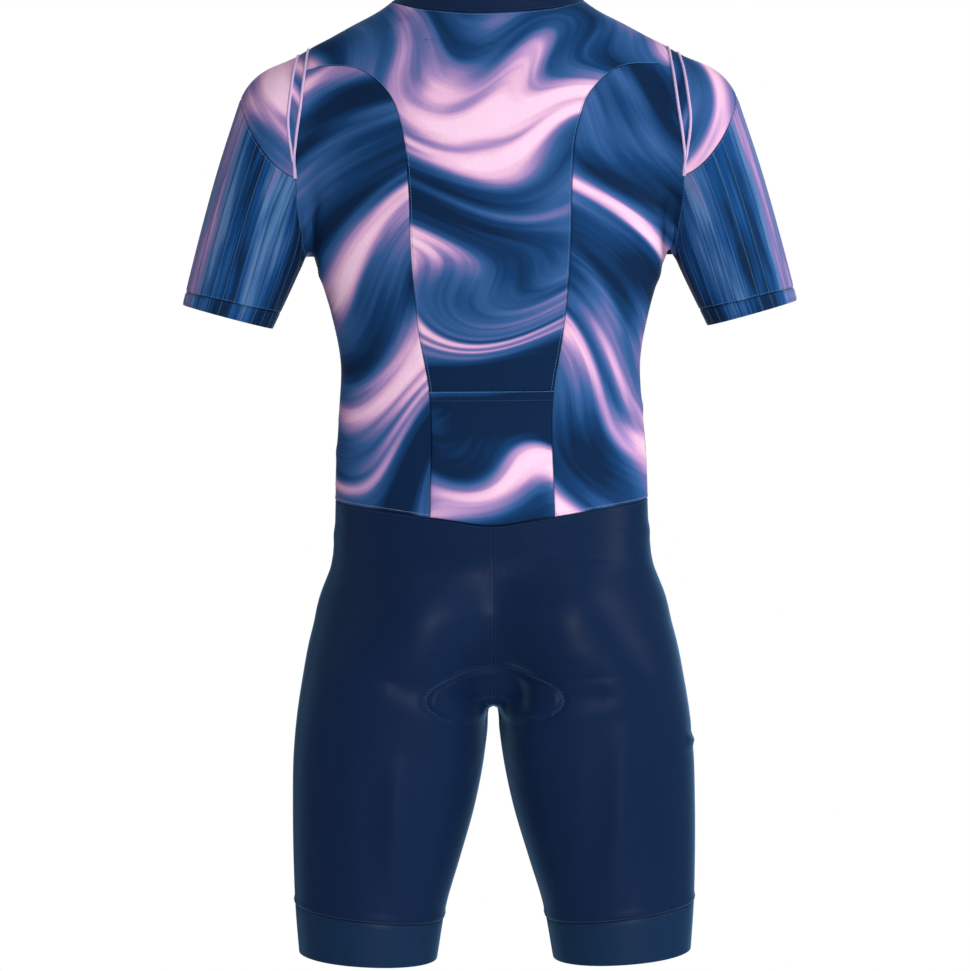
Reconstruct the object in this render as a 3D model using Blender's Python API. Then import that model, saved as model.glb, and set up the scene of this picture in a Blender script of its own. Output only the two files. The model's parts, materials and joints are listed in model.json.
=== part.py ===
"""A short-sleeve, knee-length triathlon suit, filled out as if it were worn.

Metres, +Z up. The origin is the middle of the neck opening, at the height of the collar seam.
The suit faces -Y, so its back faces +Y and its left side is at +X.

Every cloth piece is a thin wall on one smooth general figure. Seams are named curves on that
figure, and both pieces at a seam are worked out from the same points, drawn in a little so that
they don't touch.
"""

import math

import bmesh
import bpy
import numpy as np
from mathutils import Matrix, Vector

# ---------------------------------------------------------------- driving sizes

CLOTH = 0.0015            # thickness of the suit's cloth
SEAM_GAP = 0.0003         # free space between two pieces at a seam
POCKET_CLOTH = 0.0012
PAD_THICKNESS = 0.007

ZIP_HALF_WIDTH = 0.006    # from the centre front to the edge of a front panel
TEETH_HALF_WIDTH = 0.0026
TEETH_HEIGHT = 0.0010

# Level rings of the body, from the neck down. Each is widest at its middle line.
# height, half_width, middle, to_front, to_back, fullness
BODY_RINGS = [
    (0.060, 0.0610, -0.012, 0.060, 0.056, 2.00),
    (0.035, 0.0650, -0.006, 0.060, 0.057, 2.00),
    (0.020, 0.0720, -0.002, 0.060, 0.059, 2.00),
    (0.008, 0.0900, 0.000, 0.061, 0.061, 2.00),
    (-0.005, 0.1080, 0.002, 0.063, 0.064, 2.00),
    (-0.021, 0.1380, 0.004, 0.066, 0.068, 2.00),
    (-0.039, 0.1680, 0.005, 0.070, 0.072, 2.05),
    (-0.064, 0.1810, 0.004, 0.077, 0.079, 2.20),
    (-0.100, 0.1890, 0.000, 0.092, 0.095, 2.35),
    (-0.150, 0.1880, -0.004, 0.110, 0.108, 2.40),
    (-0.200, 0.1830, -0.008, 0.119, 0.112, 2.40),
    (-0.240, 0.1760, -0.010, 0.120, 0.110, 2.40),
    (-0.300, 0.1580, -0.012, 0.113, 0.100, 2.40),
    (-0.350, 0.1490, -0.014, 0.105, 0.088, 2.40),
    (-0.400, 0.1515, -0.015, 0.099, 0.081, 2.40),
    (-0.450, 0.1550, -0.014, 0.098, 0.082, 2.40),
    (-0.500, 0.1560, -0.010, 0.100, 0.090, 2.35),
    (-0.550, 0.1590, -0.005, 0.100, 0.103, 2.30),
    (-0.600, 0.1600, 0.000, 0.098, 0.109, 2.20),
    (-0.625, 0.1400, 0.002, 0.086, 0.098, 2.10),
    (-0.648, 0.0950, 0.003, 0.066, 0.076, 2.00),
    (-0.664, 0.0600, 0.002, 0.054, 0.063, 2.00),
    (-0.675, 0.0300, 0.001, 0.041, 0.050, 2.00),
    (-0.683, 0.0150, 0.001, 0.024, 0.031, 2.00),
]
BODY_BOTTOM = -0.684

# Level rings of the left leg, from inside the hip down.
# height, centre, half_width, middle, to_front, to_back, fullness
LEG_RINGS = [
    (-0.540, 0.0780, 0.0600, 0.000, 0.056, 0.062, 2.00),
    (-0.580, 0.0870, 0.0810, 0.000, 0.076, 0.088, 2.10),
    (-0.620, 0.0930, 0.0885, 0.000, 0.085, 0.099, 2.20),
    (-0.660, 0.0980, 0.0915, 0.000, 0.088, 0.100, 2.20),
    (-0.700, 0.1005, 0.0955, -0.002, 0.087, 0.094, 2.20),
    (-0.740, 0.1045, 0.0955, -0.004, 0.085, 0.088, 2.20),
    (-0.790, 0.1100, 0.0915, -0.006, 0.083, 0.082, 2.15),
    (-0.850, 0.1185, 0.0830, -0.008, 0.078, 0.076, 2.10),
    (-0.890, 0.1240, 0.0765, -0.009, 0.073, 0.072, 2.10),
    (-0.950, 0.1275, 0.0690, -0.010, 0.067, 0.066, 2.10),
]
LEG_TOP = -0.530
SEAT_MIDDLE = -0.600      # height from which the centre seam of the shorts is worked out

# The left arm: a rounded shoulder end, then rings square to the line from SHOULDER to WRISTWARD
SHOULDER = np.array((0.1900, 0.004, -0.113))
WRISTWARD = np.array((0.2635, -0.010, -0.310))
# along, half_width, half_depth
ARM_RINGS = [
    (0.000, 0.0590, 0.0620),
    (0.070, 0.0570, 0.0580),
    (0.140, 0.0520, 0.0530),
    (0.213, 0.0450, 0.0470),
]

# How softly the limbs run into the body: height, blend
CROTCH_BLENDS = [
    (-0.740, 0.010),
    (-0.691, 0.014),
    (-0.676, 0.030),
    (-0.651, 0.050),
    (-0.600, 0.060),
]
HIP_BLEND = 0.022
SHOULDER_BLENDS = [
    (-0.260, 0.004),
    (-0.215, 0.006),
    (-0.150, 0.040),
    (-0.090, 0.034),
    (0.000, 0.034),
]

# Seams. Turns are degrees round the body from the centre back, and 90 is the wearer's left.
COLLAR_SEAM = [(-45, -0.0080), (0, -0.0120), (45, -0.0080), (90, 0.0030), (135, -0.0220), (180, -0.0580)]
COLLAR_TOP = [(0, 0.0340), (45, 0.0360), (90, 0.0370), (135, 0.0160), (180, -0.0120)]
WAIST_SEAM = [(-35, -0.5000), (0, -0.5070), (35, -0.5000), (90, -0.4865), (140, -0.4890), (180, -0.4920)]
NECK_POINT_TURN = 101     # where the shoulder seam meets the collar, just in front of the ridge
SIDE_SEAM_TURN = 92       # where the side seam meets the waist

# The curved back seam, seen from behind: share of its length, distance out from the centre, height
BACK_SEAM = [
    (0.00, 0.0605, -0.4990),
    (0.25, 0.0605, -0.3770),
    (0.37, 0.0700, -0.3200),
    (0.53, 0.0770, -0.2400),
    (0.66, 0.0785, -0.1800),
    (0.77, 0.0840, -0.1250),
    (0.85, 0.0970, -0.0890),
    (0.93, 0.1300, -0.0630),
    (1.00, 0.1740, -0.0600),
]
POCKET_SHARE = 0.25       # where the pocket's mouth crosses it

# The armhole, seen from behind: height, distance out. Its angles start under the arm and run
# by the back over the top.
ARMHOLE = [(-0.240, 0.1810), (-0.190, 0.1875), (-0.150, 0.1880), (-0.100, 0.1815), (-0.035, 0.1750)]
ARMHOLE_MIDDLE = (0.002, -0.140)
CAP_BACK_ANGLE = 62
BACK_SEAM_ANGLE = 150
SHOULDER_SEAM_ANGLE = 188
CAP_FRONT_ANGLE = 298
CAP_TOP_ALONG = -0.004    # the cap's lower edge, along the arm, at its highest point

# Slanted hoops: centre height, degrees by which the outer side is higher
CUFF_SEAM = (-0.2890, 13.0)
CUFF_HEM = (-0.3035, 15.5)
BAND_SEAM = (-0.8995, 6.5)
BAND_HEM = (-0.9450, 3.5)

# How many strips each stretch of seam is divided into, and how often a grid's points are evened out
EVENING_ROUNDS = 60
STRIPS = {
    "shoulder": 2,
    "collar_back": 8,
    "collar_front": 5,
    "collar_rise": 3,
    "pocket": 4,
    "back_seam": 12,
    "side_back": 7,
    "armhole_under_back": 3,
    "armhole_back": 4,
    "armhole_top": 2,
    "armhole_front": 5,
    "armhole_under_front": 3,
    "sleeve": 7,
    "cap": 4,
    "cuff": 1,
    "seat": 9,
    "leg": 6,
    "band": 2,
    "pad_length": 12,
    "pad_half_width": 4,
}

# The seat pad: angle round the centre seam of the shorts, half width. Its face is this deep inside.
PAD_OUTLINE = [
    (28, 0.004),
    (35, 0.044),
    (47, 0.068),
    (64, 0.071),
    (90, 0.048),
    (120, 0.042),
    (145, 0.036),
    (156, 0.006),
]
PAD_DEPTH = 0.0050

# Slider and pull tab. The slider's parts are measured from the top of the teeth.
SLIDER_LENGTH = 0.0110
SLIDER_HALF_WIDTH = 0.0044
SLIDER_CLEAR = 0.0004
SLIDER_PLATE = 0.0012
SLIDER_LIP = 0.0010
LIP_WIDTH = 0.0012
BRIDGE_HALF_WIDTH = 0.0009
BRIDGE_LENGTH = 0.0080
BRIDGE_OPENING = 0.0052
BRIDGE_CLEAR = 0.0020
BRIDGE_BAR = 0.0010
PULL_THICKNESS = 0.0011
PULL_WINDOW_HALF_WIDTH = 0.0014
PULL_WINDOW_LENGTH = 0.0062
PULL_TOP_HALF_WIDTH = 0.0030
PULL_HALF_WIDTH = 0.0037
PULL_LENGTH = 0.0290
PULL_CORNER = 0.0014
PULL_REST = 0.0020        # how far the pull's lower end hangs in front of the teeth

COLOURS = {
    # linear colour, roughness, metallic
    "navy stretch cloth": ((0.008, 0.018, 0.050), 0.55, 0.0),
    "printed stretch cloth": ((0.060, 0.090, 0.200), 0.60, 0.0),
    "ribbed sleeve cloth": ((0.030, 0.080, 0.200), 0.60, 0.0),
    "gripper band": ((0.010, 0.032, 0.085), 0.50, 0.0),
    "seat pad foam": ((0.020, 0.040, 0.080), 0.85, 0.0),
    "zip tape": ((0.008, 0.016, 0.040), 0.70, 0.0),
    "zip metal": ((0.020, 0.022, 0.030), 0.35, 0.8),
}


# ---------------------------------------------------------------- the general figure

def smooth_through(rows, at):
    """The columns of a table, read on smooth curves through its rows, whose first column is where."""
    rows = np.asarray(rows, float)
    rows = rows[np.argsort(rows[:, 0])]
    where, values = rows[:, 0], rows[:, 1:]
    widths = np.diff(where)[:, None]
    slopes = np.diff(values, axis=0) / widths
    inner = (slopes[:-1] * widths[1:] + slopes[1:] * widths[:-1]) / (widths[1:] + widths[:-1])
    slopes_at = np.vstack([slopes[:1], inner, slopes[-1:]])
    at = np.clip(np.atleast_1d(at), where[0], where[-1])
    i = np.clip(np.searchsorted(where, at) - 1, 0, len(where) - 2)
    t = (at - where[i])[:, None] / widths[i]
    kept = values[i] * (1 + 2 * t) * (1 - t) ** 2 + values[i + 1] * t * t * (3 - 2 * t)
    bent = slopes_at[i] * t * (1 - t) ** 2 - slopes_at[i + 1] * t * t * (1 - t)
    return (kept + bent * widths[i]).T


def ring_reach(ring, across, y):
    """How far a level ring reaches in the direction of each point, and how far out the point is."""
    half_width, middle, to_front, to_back, fullness = ring
    deep = y - middle
    depth = np.where(deep > 0, to_back, to_front)
    spread = np.abs(across / half_width) ** fullness + np.abs(deep / depth) ** fullness
    out = np.hypot(across, deep) + 1e-9
    return out / (spread ** (1 / fullness) + 1e-9), out


def outside_rings(rows, points, centred):
    """How far points are outside a stack of level rings, measured square to its slope."""
    x, y, z = points.T
    step = 0.004

    def reach_at(height):
        table = smooth_through(rows, height)
        across = x - table[0] if centred else x
        return ring_reach(table[1:] if centred else table, across, y)

    reach, out = reach_at(z)
    slope = (reach_at(z + step)[0] - reach_at(z - step)[0]) / (2 * step)
    return (out - reach) / np.sqrt(1 + slope ** 2)


def outside_arm(points):
    """How far points are outside the left arm."""
    length = np.linalg.norm(WRISTWARD - SHOULDER)
    axis = (WRISTWARD - SHOULDER) / length
    across = np.cross(axis, (0, 1, 0))
    across /= np.linalg.norm(across)
    deep = np.cross(across, axis)
    from_shoulder = points - SHOULDER
    along = from_shoulder @ axis
    half_width, half_depth = smooth_through(ARM_RINGS, np.clip(along, 0, length))
    deep_share = (from_shoulder @ deep) * half_width / half_depth
    above = np.minimum(along, 0)
    return np.sqrt((from_shoulder @ across) ** 2 + deep_share ** 2 + above ** 2) - half_width


def soft_union(one, other, blend):
    """The nearer of two distances, rounded where they are alike."""
    overlap = np.maximum(blend - np.abs(one - other), 0) / blend
    return np.minimum(one, other) - overlap ** 2 * blend / 4


def outside(points):
    """How far points are outside the figure. It is negative inside."""
    near = np.array(points, float)
    near[:, 0] = np.abs(near[:, 0])
    far = near * (-1, 1, 1)
    z = near[:, 2]
    body = np.maximum(outside_rings(BODY_RINGS, near, False), BODY_BOTTOM - z)
    near_leg = np.maximum(outside_rings(LEG_RINGS, near, True), z - LEG_TOP)
    far_leg = np.maximum(outside_rings(LEG_RINGS, far, True), z - LEG_TOP)
    legs = soft_union(near_leg, far_leg, smooth_through(CROTCH_BLENDS, z)[0])
    trunk = soft_union(body, legs, HIP_BLEND)
    return soft_union(trunk, outside_arm(near), smooth_through(SHOULDER_BLENDS, z)[0])


def uphill(points):
    """The direction straight out of the figure at each point, and how fast the distance grows."""
    step = 0.0005
    moves = np.eye(3) * step
    slope = np.stack([outside(points + m) - outside(points - m) for m in moves], 1) / (2 * step)
    size = np.linalg.norm(slope, axis=1, keepdims=True)
    return slope / size, size[:, 0]


def settle(points, rounds=8):
    """Moves points straight in or out until they lie on the figure."""
    shape = np.shape(points)
    points = np.array(points, float).reshape(-1, 3)
    for _ in range(rounds):
        way, growth = uphill(points)
        points -= way * np.clip(outside(points) / growth, -0.02, 0.02)[:, None]
    return points.reshape(shape)


def exit_points(path, count, far=0.30):
    """Where each path, a function of how far along it one is, first leaves the figure."""
    low = np.zeros(count)
    high = np.zeros(count)
    for reach in np.linspace(0, far, 40)[1:]:
        waiting = high == 0
        out = outside(path(np.full(count, reach))) > 0
        high = np.where(waiting & out, reach, high)
        low = np.where(waiting & ~out, reach, low)
    for _ in range(24):
        middle = (low + high) / 2
        out = outside(path(middle)) > 0
        high = np.where(out, middle, high)
        low = np.where(out, low, middle)
    return path((low + high) / 2)


def from_inside(starts, ways):
    """Where straight lines from inside the figure leave it."""
    starts, ways = np.broadcast_arrays(np.asarray(starts, float), np.asarray(ways, float))
    return exit_points(lambda t: starts + ways * t[:, None], len(starts))


# ---------------------------------------------------------------- seams as curves on the figure

def at_level(turns, heights):
    """Points round the body, by turn in degrees and height."""
    angle = np.radians(turns)
    flat = np.zeros_like(angle)
    return from_inside(np.stack([flat, flat, heights], 1), np.stack([np.sin(angle), np.cos(angle), flat], 1))


def round_body(table, first, last, strips):
    """A seam round the body from one turn to another, its height read from a table of turns."""
    turns = np.linspace(first, last, strips + 1)
    return at_level(turns, smooth_through(table, np.abs(turns))[0])


def seen_from(back, across, heights):
    """Points on the back of the figure, or its front, at given distances out and heights."""
    flat = np.zeros_like(np.asarray(across, float))
    side = 1.0 if back else -1.0
    return from_inside(np.stack([across, flat, heights], 1), np.array((0, side, 0)))


def front_turn(height):
    """The turn at which a level ring comes to the edge of a front panel."""
    edge = seen_from(False, np.array([ZIP_HALF_WIDTH]), np.array([height]))[0]
    return math.degrees(math.atan2(edge[0], edge[1]))


def armhole(first, last, strips):
    """Part of the left armhole, by angles in degrees from under the arm."""
    angle = np.radians(np.linspace(first, last, strips + 1))
    y_middle, z_middle = ARMHOLE_MIDDLE

    def path(t):
        y = y_middle + t * np.sin(angle)
        z = z_middle - t * np.cos(angle)
        return np.stack([smooth_through(ARMHOLE, z)[0], y, z], 1)

    return exit_points(path, len(angle), 0.16)


def straight(first, last, strips):
    """The curve over the figure that looks straight between two of its points."""
    share = np.linspace(0, 1, strips + 1)[:, None]
    curve = settle(first * (1 - share) + last * share)
    curve[0], curve[-1] = first, last
    return curve


def back_seam(strips_below, strips_above):
    """The left curved back seam, from the waist to the armhole."""
    below = np.linspace(0, POCKET_SHARE, strips_below + 1)
    above = np.linspace(POCKET_SHARE, 1, strips_above + 1)[1:]
    across, heights = smooth_through(BACK_SEAM, np.concatenate([below, above]))
    curve = seen_from(True, across, heights)
    curve[-1] = armhole(BACK_SEAM_ANGLE, BACK_SEAM_ANGLE, 0)[0]
    return curve


def hoop(centre, tilt, angles):
    """A slanted hoop round a limb, by angles from its inner side by the back."""
    angle = np.radians(angles)[:, None]
    outward = np.array((math.cos(math.radians(tilt)), 0, math.sin(math.radians(tilt))))
    return from_inside(centre, np.array((0, 1, 0)) * np.sin(angle) - outward * np.cos(angle))


def joined(*curves):
    """Curves end to end, without the points they share."""
    return np.concatenate([curves[0]] + [curve[1:] for curve in curves[1:]])


def mirrored(points):
    return points * (-1, 1, 1)


# ---------------------------------------------------------------- pieces of cloth as walls

def filled(bottom, top, left, right):
    """A grid of points on the figure between four curves. Its rows run from bottom to top."""
    across = np.linspace(0, 1, len(bottom))[None, :, None]
    up = np.linspace(0, 1, len(left))[:, None, None]
    rows = bottom[None] * (1 - up) + top[None] * up
    columns = left[:, None] * (1 - across) + right[:, None] * across
    corners = (bottom[0] * (1 - across) + bottom[-1] * across) * (1 - up)
    corners = corners + (top[0] * (1 - across) + top[-1] * across) * up
    grid = settle(rows + columns - corners)
    grid[0], grid[-1] = bottom, top
    grid[:, 0], grid[:, -1] = left, right
    for _ in range(EVENING_ROUNDS):
        beside = grid[1:-1, :-2] + grid[1:-1, 2:]
        above = grid[:-2, 1:-1] + grid[2:, 1:-1]
        grid[1:-1, 1:-1] = settle((beside + above) / 4, 1)
    grid[1:-1, 1:-1] = settle(grid[1:-1, 1:-1])
    return grid


def drawn_in(grid, gap=SEAM_GAP / 2):
    """The grid with each of its four edges moved in, square to the edge."""
    moves = np.zeros_like(grid)
    for turned in (False, True):
        g = grid.swapaxes(0, 1) if turned else grid
        m = moves.swapaxes(0, 1) if turned else moves
        for edge, neighbour in ((0, 1), (-1, -2)):
            along = np.gradient(g[edge], axis=0)
            length = np.linalg.norm(along, axis=1, keepdims=True)
            along = along / np.maximum(length, 1e-9)
            inward = g[neighbour] - g[edge]
            inward = inward - along * np.sum(inward * along, 1, keepdims=True)
            inward = inward / np.maximum(np.linalg.norm(inward, axis=1, keepdims=True), 1e-9)
            m[edge] += inward * gap
    return grid + moves


def grid_triangles(grid):
    """Two triangles for each cell, split along the diagonal that lies closer to the figure."""
    rows, columns = grid.shape[:2]
    middles = np.stack([grid[1:, 1:] + grid[:-1, :-1], grid[1:, :-1] + grid[:-1, 1:]]) / 2
    rising, falling = np.abs(outside(middles.reshape(-1, 3))).reshape(2, rows - 1, columns - 1)
    triangles = []
    for r in range(rows - 1):
        for c in range(columns - 1):
            a = r * columns + c
            b, d, e = a + 1, a + columns, a + columns + 1
            if rising[r, c] <= falling[r, c]:
                triangles += [(a, b, e), (a, e, d)]
            else:
                triangles += [(a, b, d), (b, e, d)]
    return triangles


def wall(name, finish, points, triangles, outer=0.0, inner=-CLOTH, relief=None):
    """A closed piece of cloth: the points moved out to its outer face and to its inner face."""
    points = np.asarray(points, float).reshape(-1, 3)
    places, first, which = np.unique(np.round(points, 7), axis=0, return_index=True, return_inverse=True)
    which = which.ravel()
    normals = uphill(points[first])[0]
    rise = np.zeros(len(first)) if relief is None else np.asarray(relief, float).ravel()[first]
    tops = points[first] + normals * (outer + rise)[:, None]
    bottoms = points[first] + normals * inner
    faces = [tuple(int(which[i]) for i in t) for t in triangles]
    faces = [t for t in faces if len(set(t)) == 3]
    directed = {(t[i], t[(i + 1) % 3]) for t in faces for i in range(3)}
    rim = sorted(edge for edge in directed if edge[::-1] not in directed)
    bm = bmesh.new()
    top = [bm.verts.new(p) for p in tops]
    bottom = [bm.verts.new(p) for p in bottoms]
    for t in faces:
        bm.faces.new([top[i] for i in t])
        bm.faces.new([bottom[i] for i in reversed(t)])
    for a, b in rim:
        bm.faces.new((top[b], top[a], bottom[a]))
        bm.faces.new((top[b], bottom[a], bottom[b]))
    bmesh.ops.recalc_face_normals(bm, faces=bm.faces)
    return add_object(name, finish, bm)


def panel(name, finish, grid, **how):
    """A wall on a grid."""
    return wall(name, finish, grid, grid_triangles(grid), **how)


def pair(name, finish, grid, **how):
    """A left piece and its mirror image on the right."""
    panel(name + "_left", finish, grid, **how)
    panel(name + "_right", finish, mirrored(grid), **how)


# ---------------------------------------------------------------- objects and finishes

def add_object(name, finish, bm):
    mesh = bpy.data.meshes.new(name)
    bm.to_mesh(mesh)
    bm.free()
    mesh.materials.append(material(name, finish))
    item = bpy.data.objects.new(name, mesh)
    bpy.context.collection.objects.link(item)
    return item


def material(name, finish):
    colour, roughness, metallic = COLOURS[finish]
    made = bpy.data.materials.new(name + " " + finish)
    made.use_nodes = True
    shader = made.node_tree.nodes["Principled BSDF"]
    shader.inputs["Base Color"].default_value = (*colour, 1)
    shader.inputs["Roughness"].default_value = roughness
    shader.inputs["Metallic"].default_value = metallic
    return made


def placed(item, across, up, out, place):
    """Turns an object's X, Y and Z to three directions and puts its origin at a place."""
    item.matrix_world = Matrix.Translation(place) @ Matrix((across, up, out)).transposed().to_4x4()
    return item


def extruded(name, finish, outline, depth, lift):
    """An outline in X and Y, filled and made solid from one height to another."""
    bm = bmesh.new()
    face = bm.faces.new([bm.verts.new((x, y, lift)) for x, y in outline])
    made = bmesh.ops.extrude_face_region(bm, geom=[face])
    verts = [v for v in made["geom"] if isinstance(v, bmesh.types.BMVert)]
    bmesh.ops.translate(bm, verts=verts, vec=(0, 0, depth))
    bmesh.ops.recalc_face_normals(bm, faces=bm.faces)
    return add_object(name, finish, bm)


def combined(item, other, operation):
    """Joins another object to an item, or cuts it out, and leaves the other as a guide."""
    change = item.modifiers.new(operation.lower(), "BOOLEAN")
    change.operation = operation
    change.object = other
    other.hide_render = True
    other.display_type = "WIRE"


def clear_scene():
    for item in list(bpy.data.objects):
        bpy.data.objects.remove(item, do_unlink=True)


# ---------------------------------------------------------------- the suit

def make_seams():
    """Every shared curve of the left half, from the waist up."""
    s = STRIPS
    seams = {}
    seams["armhole_under_back"] = armhole(0, CAP_BACK_ANGLE, s["armhole_under_back"])
    seams["armhole_back"] = armhole(CAP_BACK_ANGLE, BACK_SEAM_ANGLE, s["armhole_back"])
    seams["armhole_top"] = armhole(BACK_SEAM_ANGLE, SHOULDER_SEAM_ANGLE, s["armhole_top"])
    seams["armhole_front"] = armhole(SHOULDER_SEAM_ANGLE, CAP_FRONT_ANGLE, s["armhole_front"])
    seams["armhole_under_front"] = armhole(CAP_FRONT_ANGLE, 360, s["armhole_under_front"])
    seams["back_seam"] = back_seam(s["pocket"], s["back_seam"])
    waist_at_back_seam = seams["back_seam"][0]
    turn = math.degrees(math.atan2(waist_at_back_seam[0], waist_at_back_seam[1]))
    half_back = (s["shoulder"] * 2 + s["collar_back"]) // 2
    seams["waist_back"] = round_body(WAIST_SEAM, 0, turn, half_back)
    seams["waist_side"] = round_body(WAIST_SEAM, turn, SIDE_SEAM_TURN, s["side_back"])
    front_strips = s["shoulder"] + s["collar_front"]
    waist_front = smooth_through(WAIST_SEAM, 180)[0, 0]
    seams["waist_front"] = round_body(WAIST_SEAM, SIDE_SEAM_TURN, front_turn(waist_front), front_strips)
    seams["back_seam"][0] = seams["waist_back"][-1]
    side_strips = s["pocket"] + s["back_seam"]
    seams["side_seam"] = straight(seams["waist_side"][-1], seams["armhole_under_back"][0], side_strips)
    seams["collar_back"] = round_body(COLLAR_SEAM, 0, NECK_POINT_TURN, s["collar_back"] // 2)
    collar_front = smooth_through(COLLAR_SEAM, 180)[0, 0]
    seams["collar_front"] = round_body(
        COLLAR_SEAM, NECK_POINT_TURN, front_turn(collar_front), s["collar_front"]
    )
    seams["shoulder"] = straight(seams["armhole_top"][-1], seams["collar_back"][-1], s["shoulder"])
    front_strips = side_strips + s["armhole_front"] + s["armhole_under_front"]
    heights = np.linspace(seams["waist_front"][-1][2], seams["collar_front"][-1][2], front_strips + 1)
    seams["front_edge"] = seen_from(False, np.full(front_strips + 1, ZIP_HALF_WIDTH), heights)
    seams["front_edge"][0] = seams["waist_front"][-1]
    seams["front_edge"][-1] = seams["collar_front"][-1]
    return seams


def both_sides(half):
    """A curve that starts on the centre line, with its mirror image before it."""
    return joined(mirrored(half)[::-1], half)


def make_back(seams):
    """The centre back in two bands, split at the height of the pocket's mouth."""
    left = seams["back_seam"]
    upper_side = joined(left, seams["armhole_top"])
    split = STRIPS["pocket"]
    waist = both_sides(seams["waist_back"])
    across = np.linspace(-1, 1, len(waist)) * left[split][0]
    mouth = seen_from(True, across, np.full(len(waist), left[split][2]))
    mouth[0], mouth[-1] = mirrored(left[split]), left[split]
    top_half = joined(seams["collar_back"], seams["shoulder"][::-1])
    top = both_sides(top_half)
    lower = filled(waist, mouth, mirrored(left[: split + 1]), left[: split + 1])
    upper = filled(mouth, top, mirrored(upper_side[split:]), upper_side[split:])
    grid = np.concatenate([lower, upper[1:]])
    panel("back_centre", "printed stretch cloth", drawn_in(grid))
    pocket = drawn_in(drawn_in(lower), SEAM_GAP)
    panel("back_pocket", "printed stretch cloth", pocket, outer=SEAM_GAP + POCKET_CLOTH, inner=SEAM_GAP)


def make_side_backs(seams):
    top = joined(seams["armhole_under_back"], seams["armhole_back"])[::-1]
    grid = filled(seams["waist_side"], top, seams["back_seam"], seams["side_seam"])
    pair("back_side", "printed stretch cloth", drawn_in(grid))


def make_fronts(seams):
    armhole_side = joined(seams["armhole_front"], seams["armhole_under_front"])[::-1]
    side = joined(seams["side_seam"], armhole_side)
    top = joined(seams["shoulder"], seams["collar_front"])
    grid = filled(seams["waist_front"], top, side, seams["front_edge"])
    pair("front", "printed stretch cloth", drawn_in(grid))


def make_collar(seams):
    """The stand collar, from one edge of the zip round the neck to the other."""
    base = both_sides(joined(seams["collar_back"], seams["collar_front"]))
    turns = np.degrees(np.arctan2(base[:, 0], base[:, 1]))
    top_front = smooth_through(COLLAR_TOP, 180)[0, 0]
    turns[-1] = front_turn(top_front)
    turns[0] = -turns[-1]
    top = at_level(turns, smooth_through(COLLAR_TOP, np.abs(turns))[0])
    rise = STRIPS["collar_rise"]
    heights = np.linspace(base[-1][2], top[-1][2], rise + 1)
    end = seen_from(False, np.full(rise + 1, ZIP_HALF_WIDTH), heights)
    end[0], end[-1] = base[-1], top[-1]
    grid = filled(base, top, mirrored(end), end)
    panel("collar", "navy stretch cloth", drawn_in(grid))
    return end


def cap_edge(seams):
    """The lower edge of the left sleeve cap, from the back of the armhole over to its front."""
    axis = (WRISTWARD - SHOULDER) / np.linalg.norm(WRISTWARD - SHOULDER)
    outward = np.cross((0, 1, 0), axis)
    outward *= np.sign(outward[0]) / np.linalg.norm(outward)
    backward = np.cross(axis, outward)
    backward *= np.sign(backward[1])
    ends = np.array([seams["armhole_back"][0], seams["armhole_front"][-1]]) - SHOULDER
    turns = np.arctan2(ends @ backward, ends @ outward)
    strips = STRIPS["armhole_back"] + STRIPS["armhole_top"] + STRIPS["armhole_front"]
    angle = np.linspace(turns[0], turns[1], strips + 1)
    share = np.clip(angle / np.where(angle > 0, turns[0], turns[1]), 0, 1)
    end_along = np.where(angle > 0, ends[0] @ axis, ends[1] @ axis)
    along = CAP_TOP_ALONG + (end_along - CAP_TOP_ALONG) * share ** 2 * (3 - 2 * share)
    ways = np.cos(angle)[:, None] * outward + np.sin(angle)[:, None] * backward
    edge = from_inside(SHOULDER + along[:, None] * axis, ways)
    edge[0], edge[-1] = seams["armhole_back"][0], seams["armhole_front"][-1]
    return edge


def arm_centre(height):
    """The middle of the left arm where it passes a height."""
    share = (height - SHOULDER[2]) / (WRISTWARD[2] - SHOULDER[2])
    return SHOULDER + (WRISTWARD - SHOULDER) * share


def make_sleeves(seams):
    over = joined(seams["armhole_back"], seams["armhole_top"], seams["armhole_front"])
    edge = cap_edge(seams)
    strips = STRIPS["cap"]
    cap = filled(over, edge, np.repeat(over[:1], strips + 1, 0), np.repeat(over[-1:], strips + 1, 0))
    cap = drawn_in(cap)
    for end, inner in ((0, 1), (-1, -2)):
        tip = cap[:, inner].mean(0) - over[end]
        cap[:, end] = over[end] + tip / np.linalg.norm(tip) * SEAM_GAP * 2
    pair("sleeve_cap", "printed stretch cloth", cap)

    top = joined(seams["armhole_under_back"], edge, seams["armhole_under_front"])
    angles = np.linspace(0, 360, len(top))
    seam = hoop(arm_centre(CUFF_SEAM[0]), CUFF_SEAM[1], angles)
    hem = hoop(arm_centre(CUFF_HEM[0]), CUFF_HEM[1], angles)
    under = straight(seam[0], top[0], STRIPS["sleeve"])
    pair("sleeve", "ribbed sleeve cloth", drawn_in(filled(seam, top, under, under)))
    under = straight(hem[0], seam[0], STRIPS["cuff"])
    pair("cuff", "ribbed sleeve cloth", drawn_in(filled(hem, seam, under, under)))


def crotch_curve(angles):
    """The centre seam of the shorts, by angles in degrees from straight back by straight down."""
    angle = np.radians(angles)
    flat = np.zeros_like(angle)
    return from_inside((0, 0, SEAT_MIDDLE), np.stack([flat, np.cos(angle), -np.sin(angle)], 1))


def crotch_angle(point):
    """The angle of a point of the centre seam, from -90 at the back to 270 at the front."""
    angle = math.degrees(math.atan2(SEAT_MIDDLE - point[2], point[1]))
    return angle + 360 if angle < -90 else angle


def leg_centre(height):
    """The middle of the left leg at a height."""
    centre, _, middle = smooth_through(LEG_RINGS, height)[:3, 0]
    return np.array((centre, middle, height))


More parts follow.
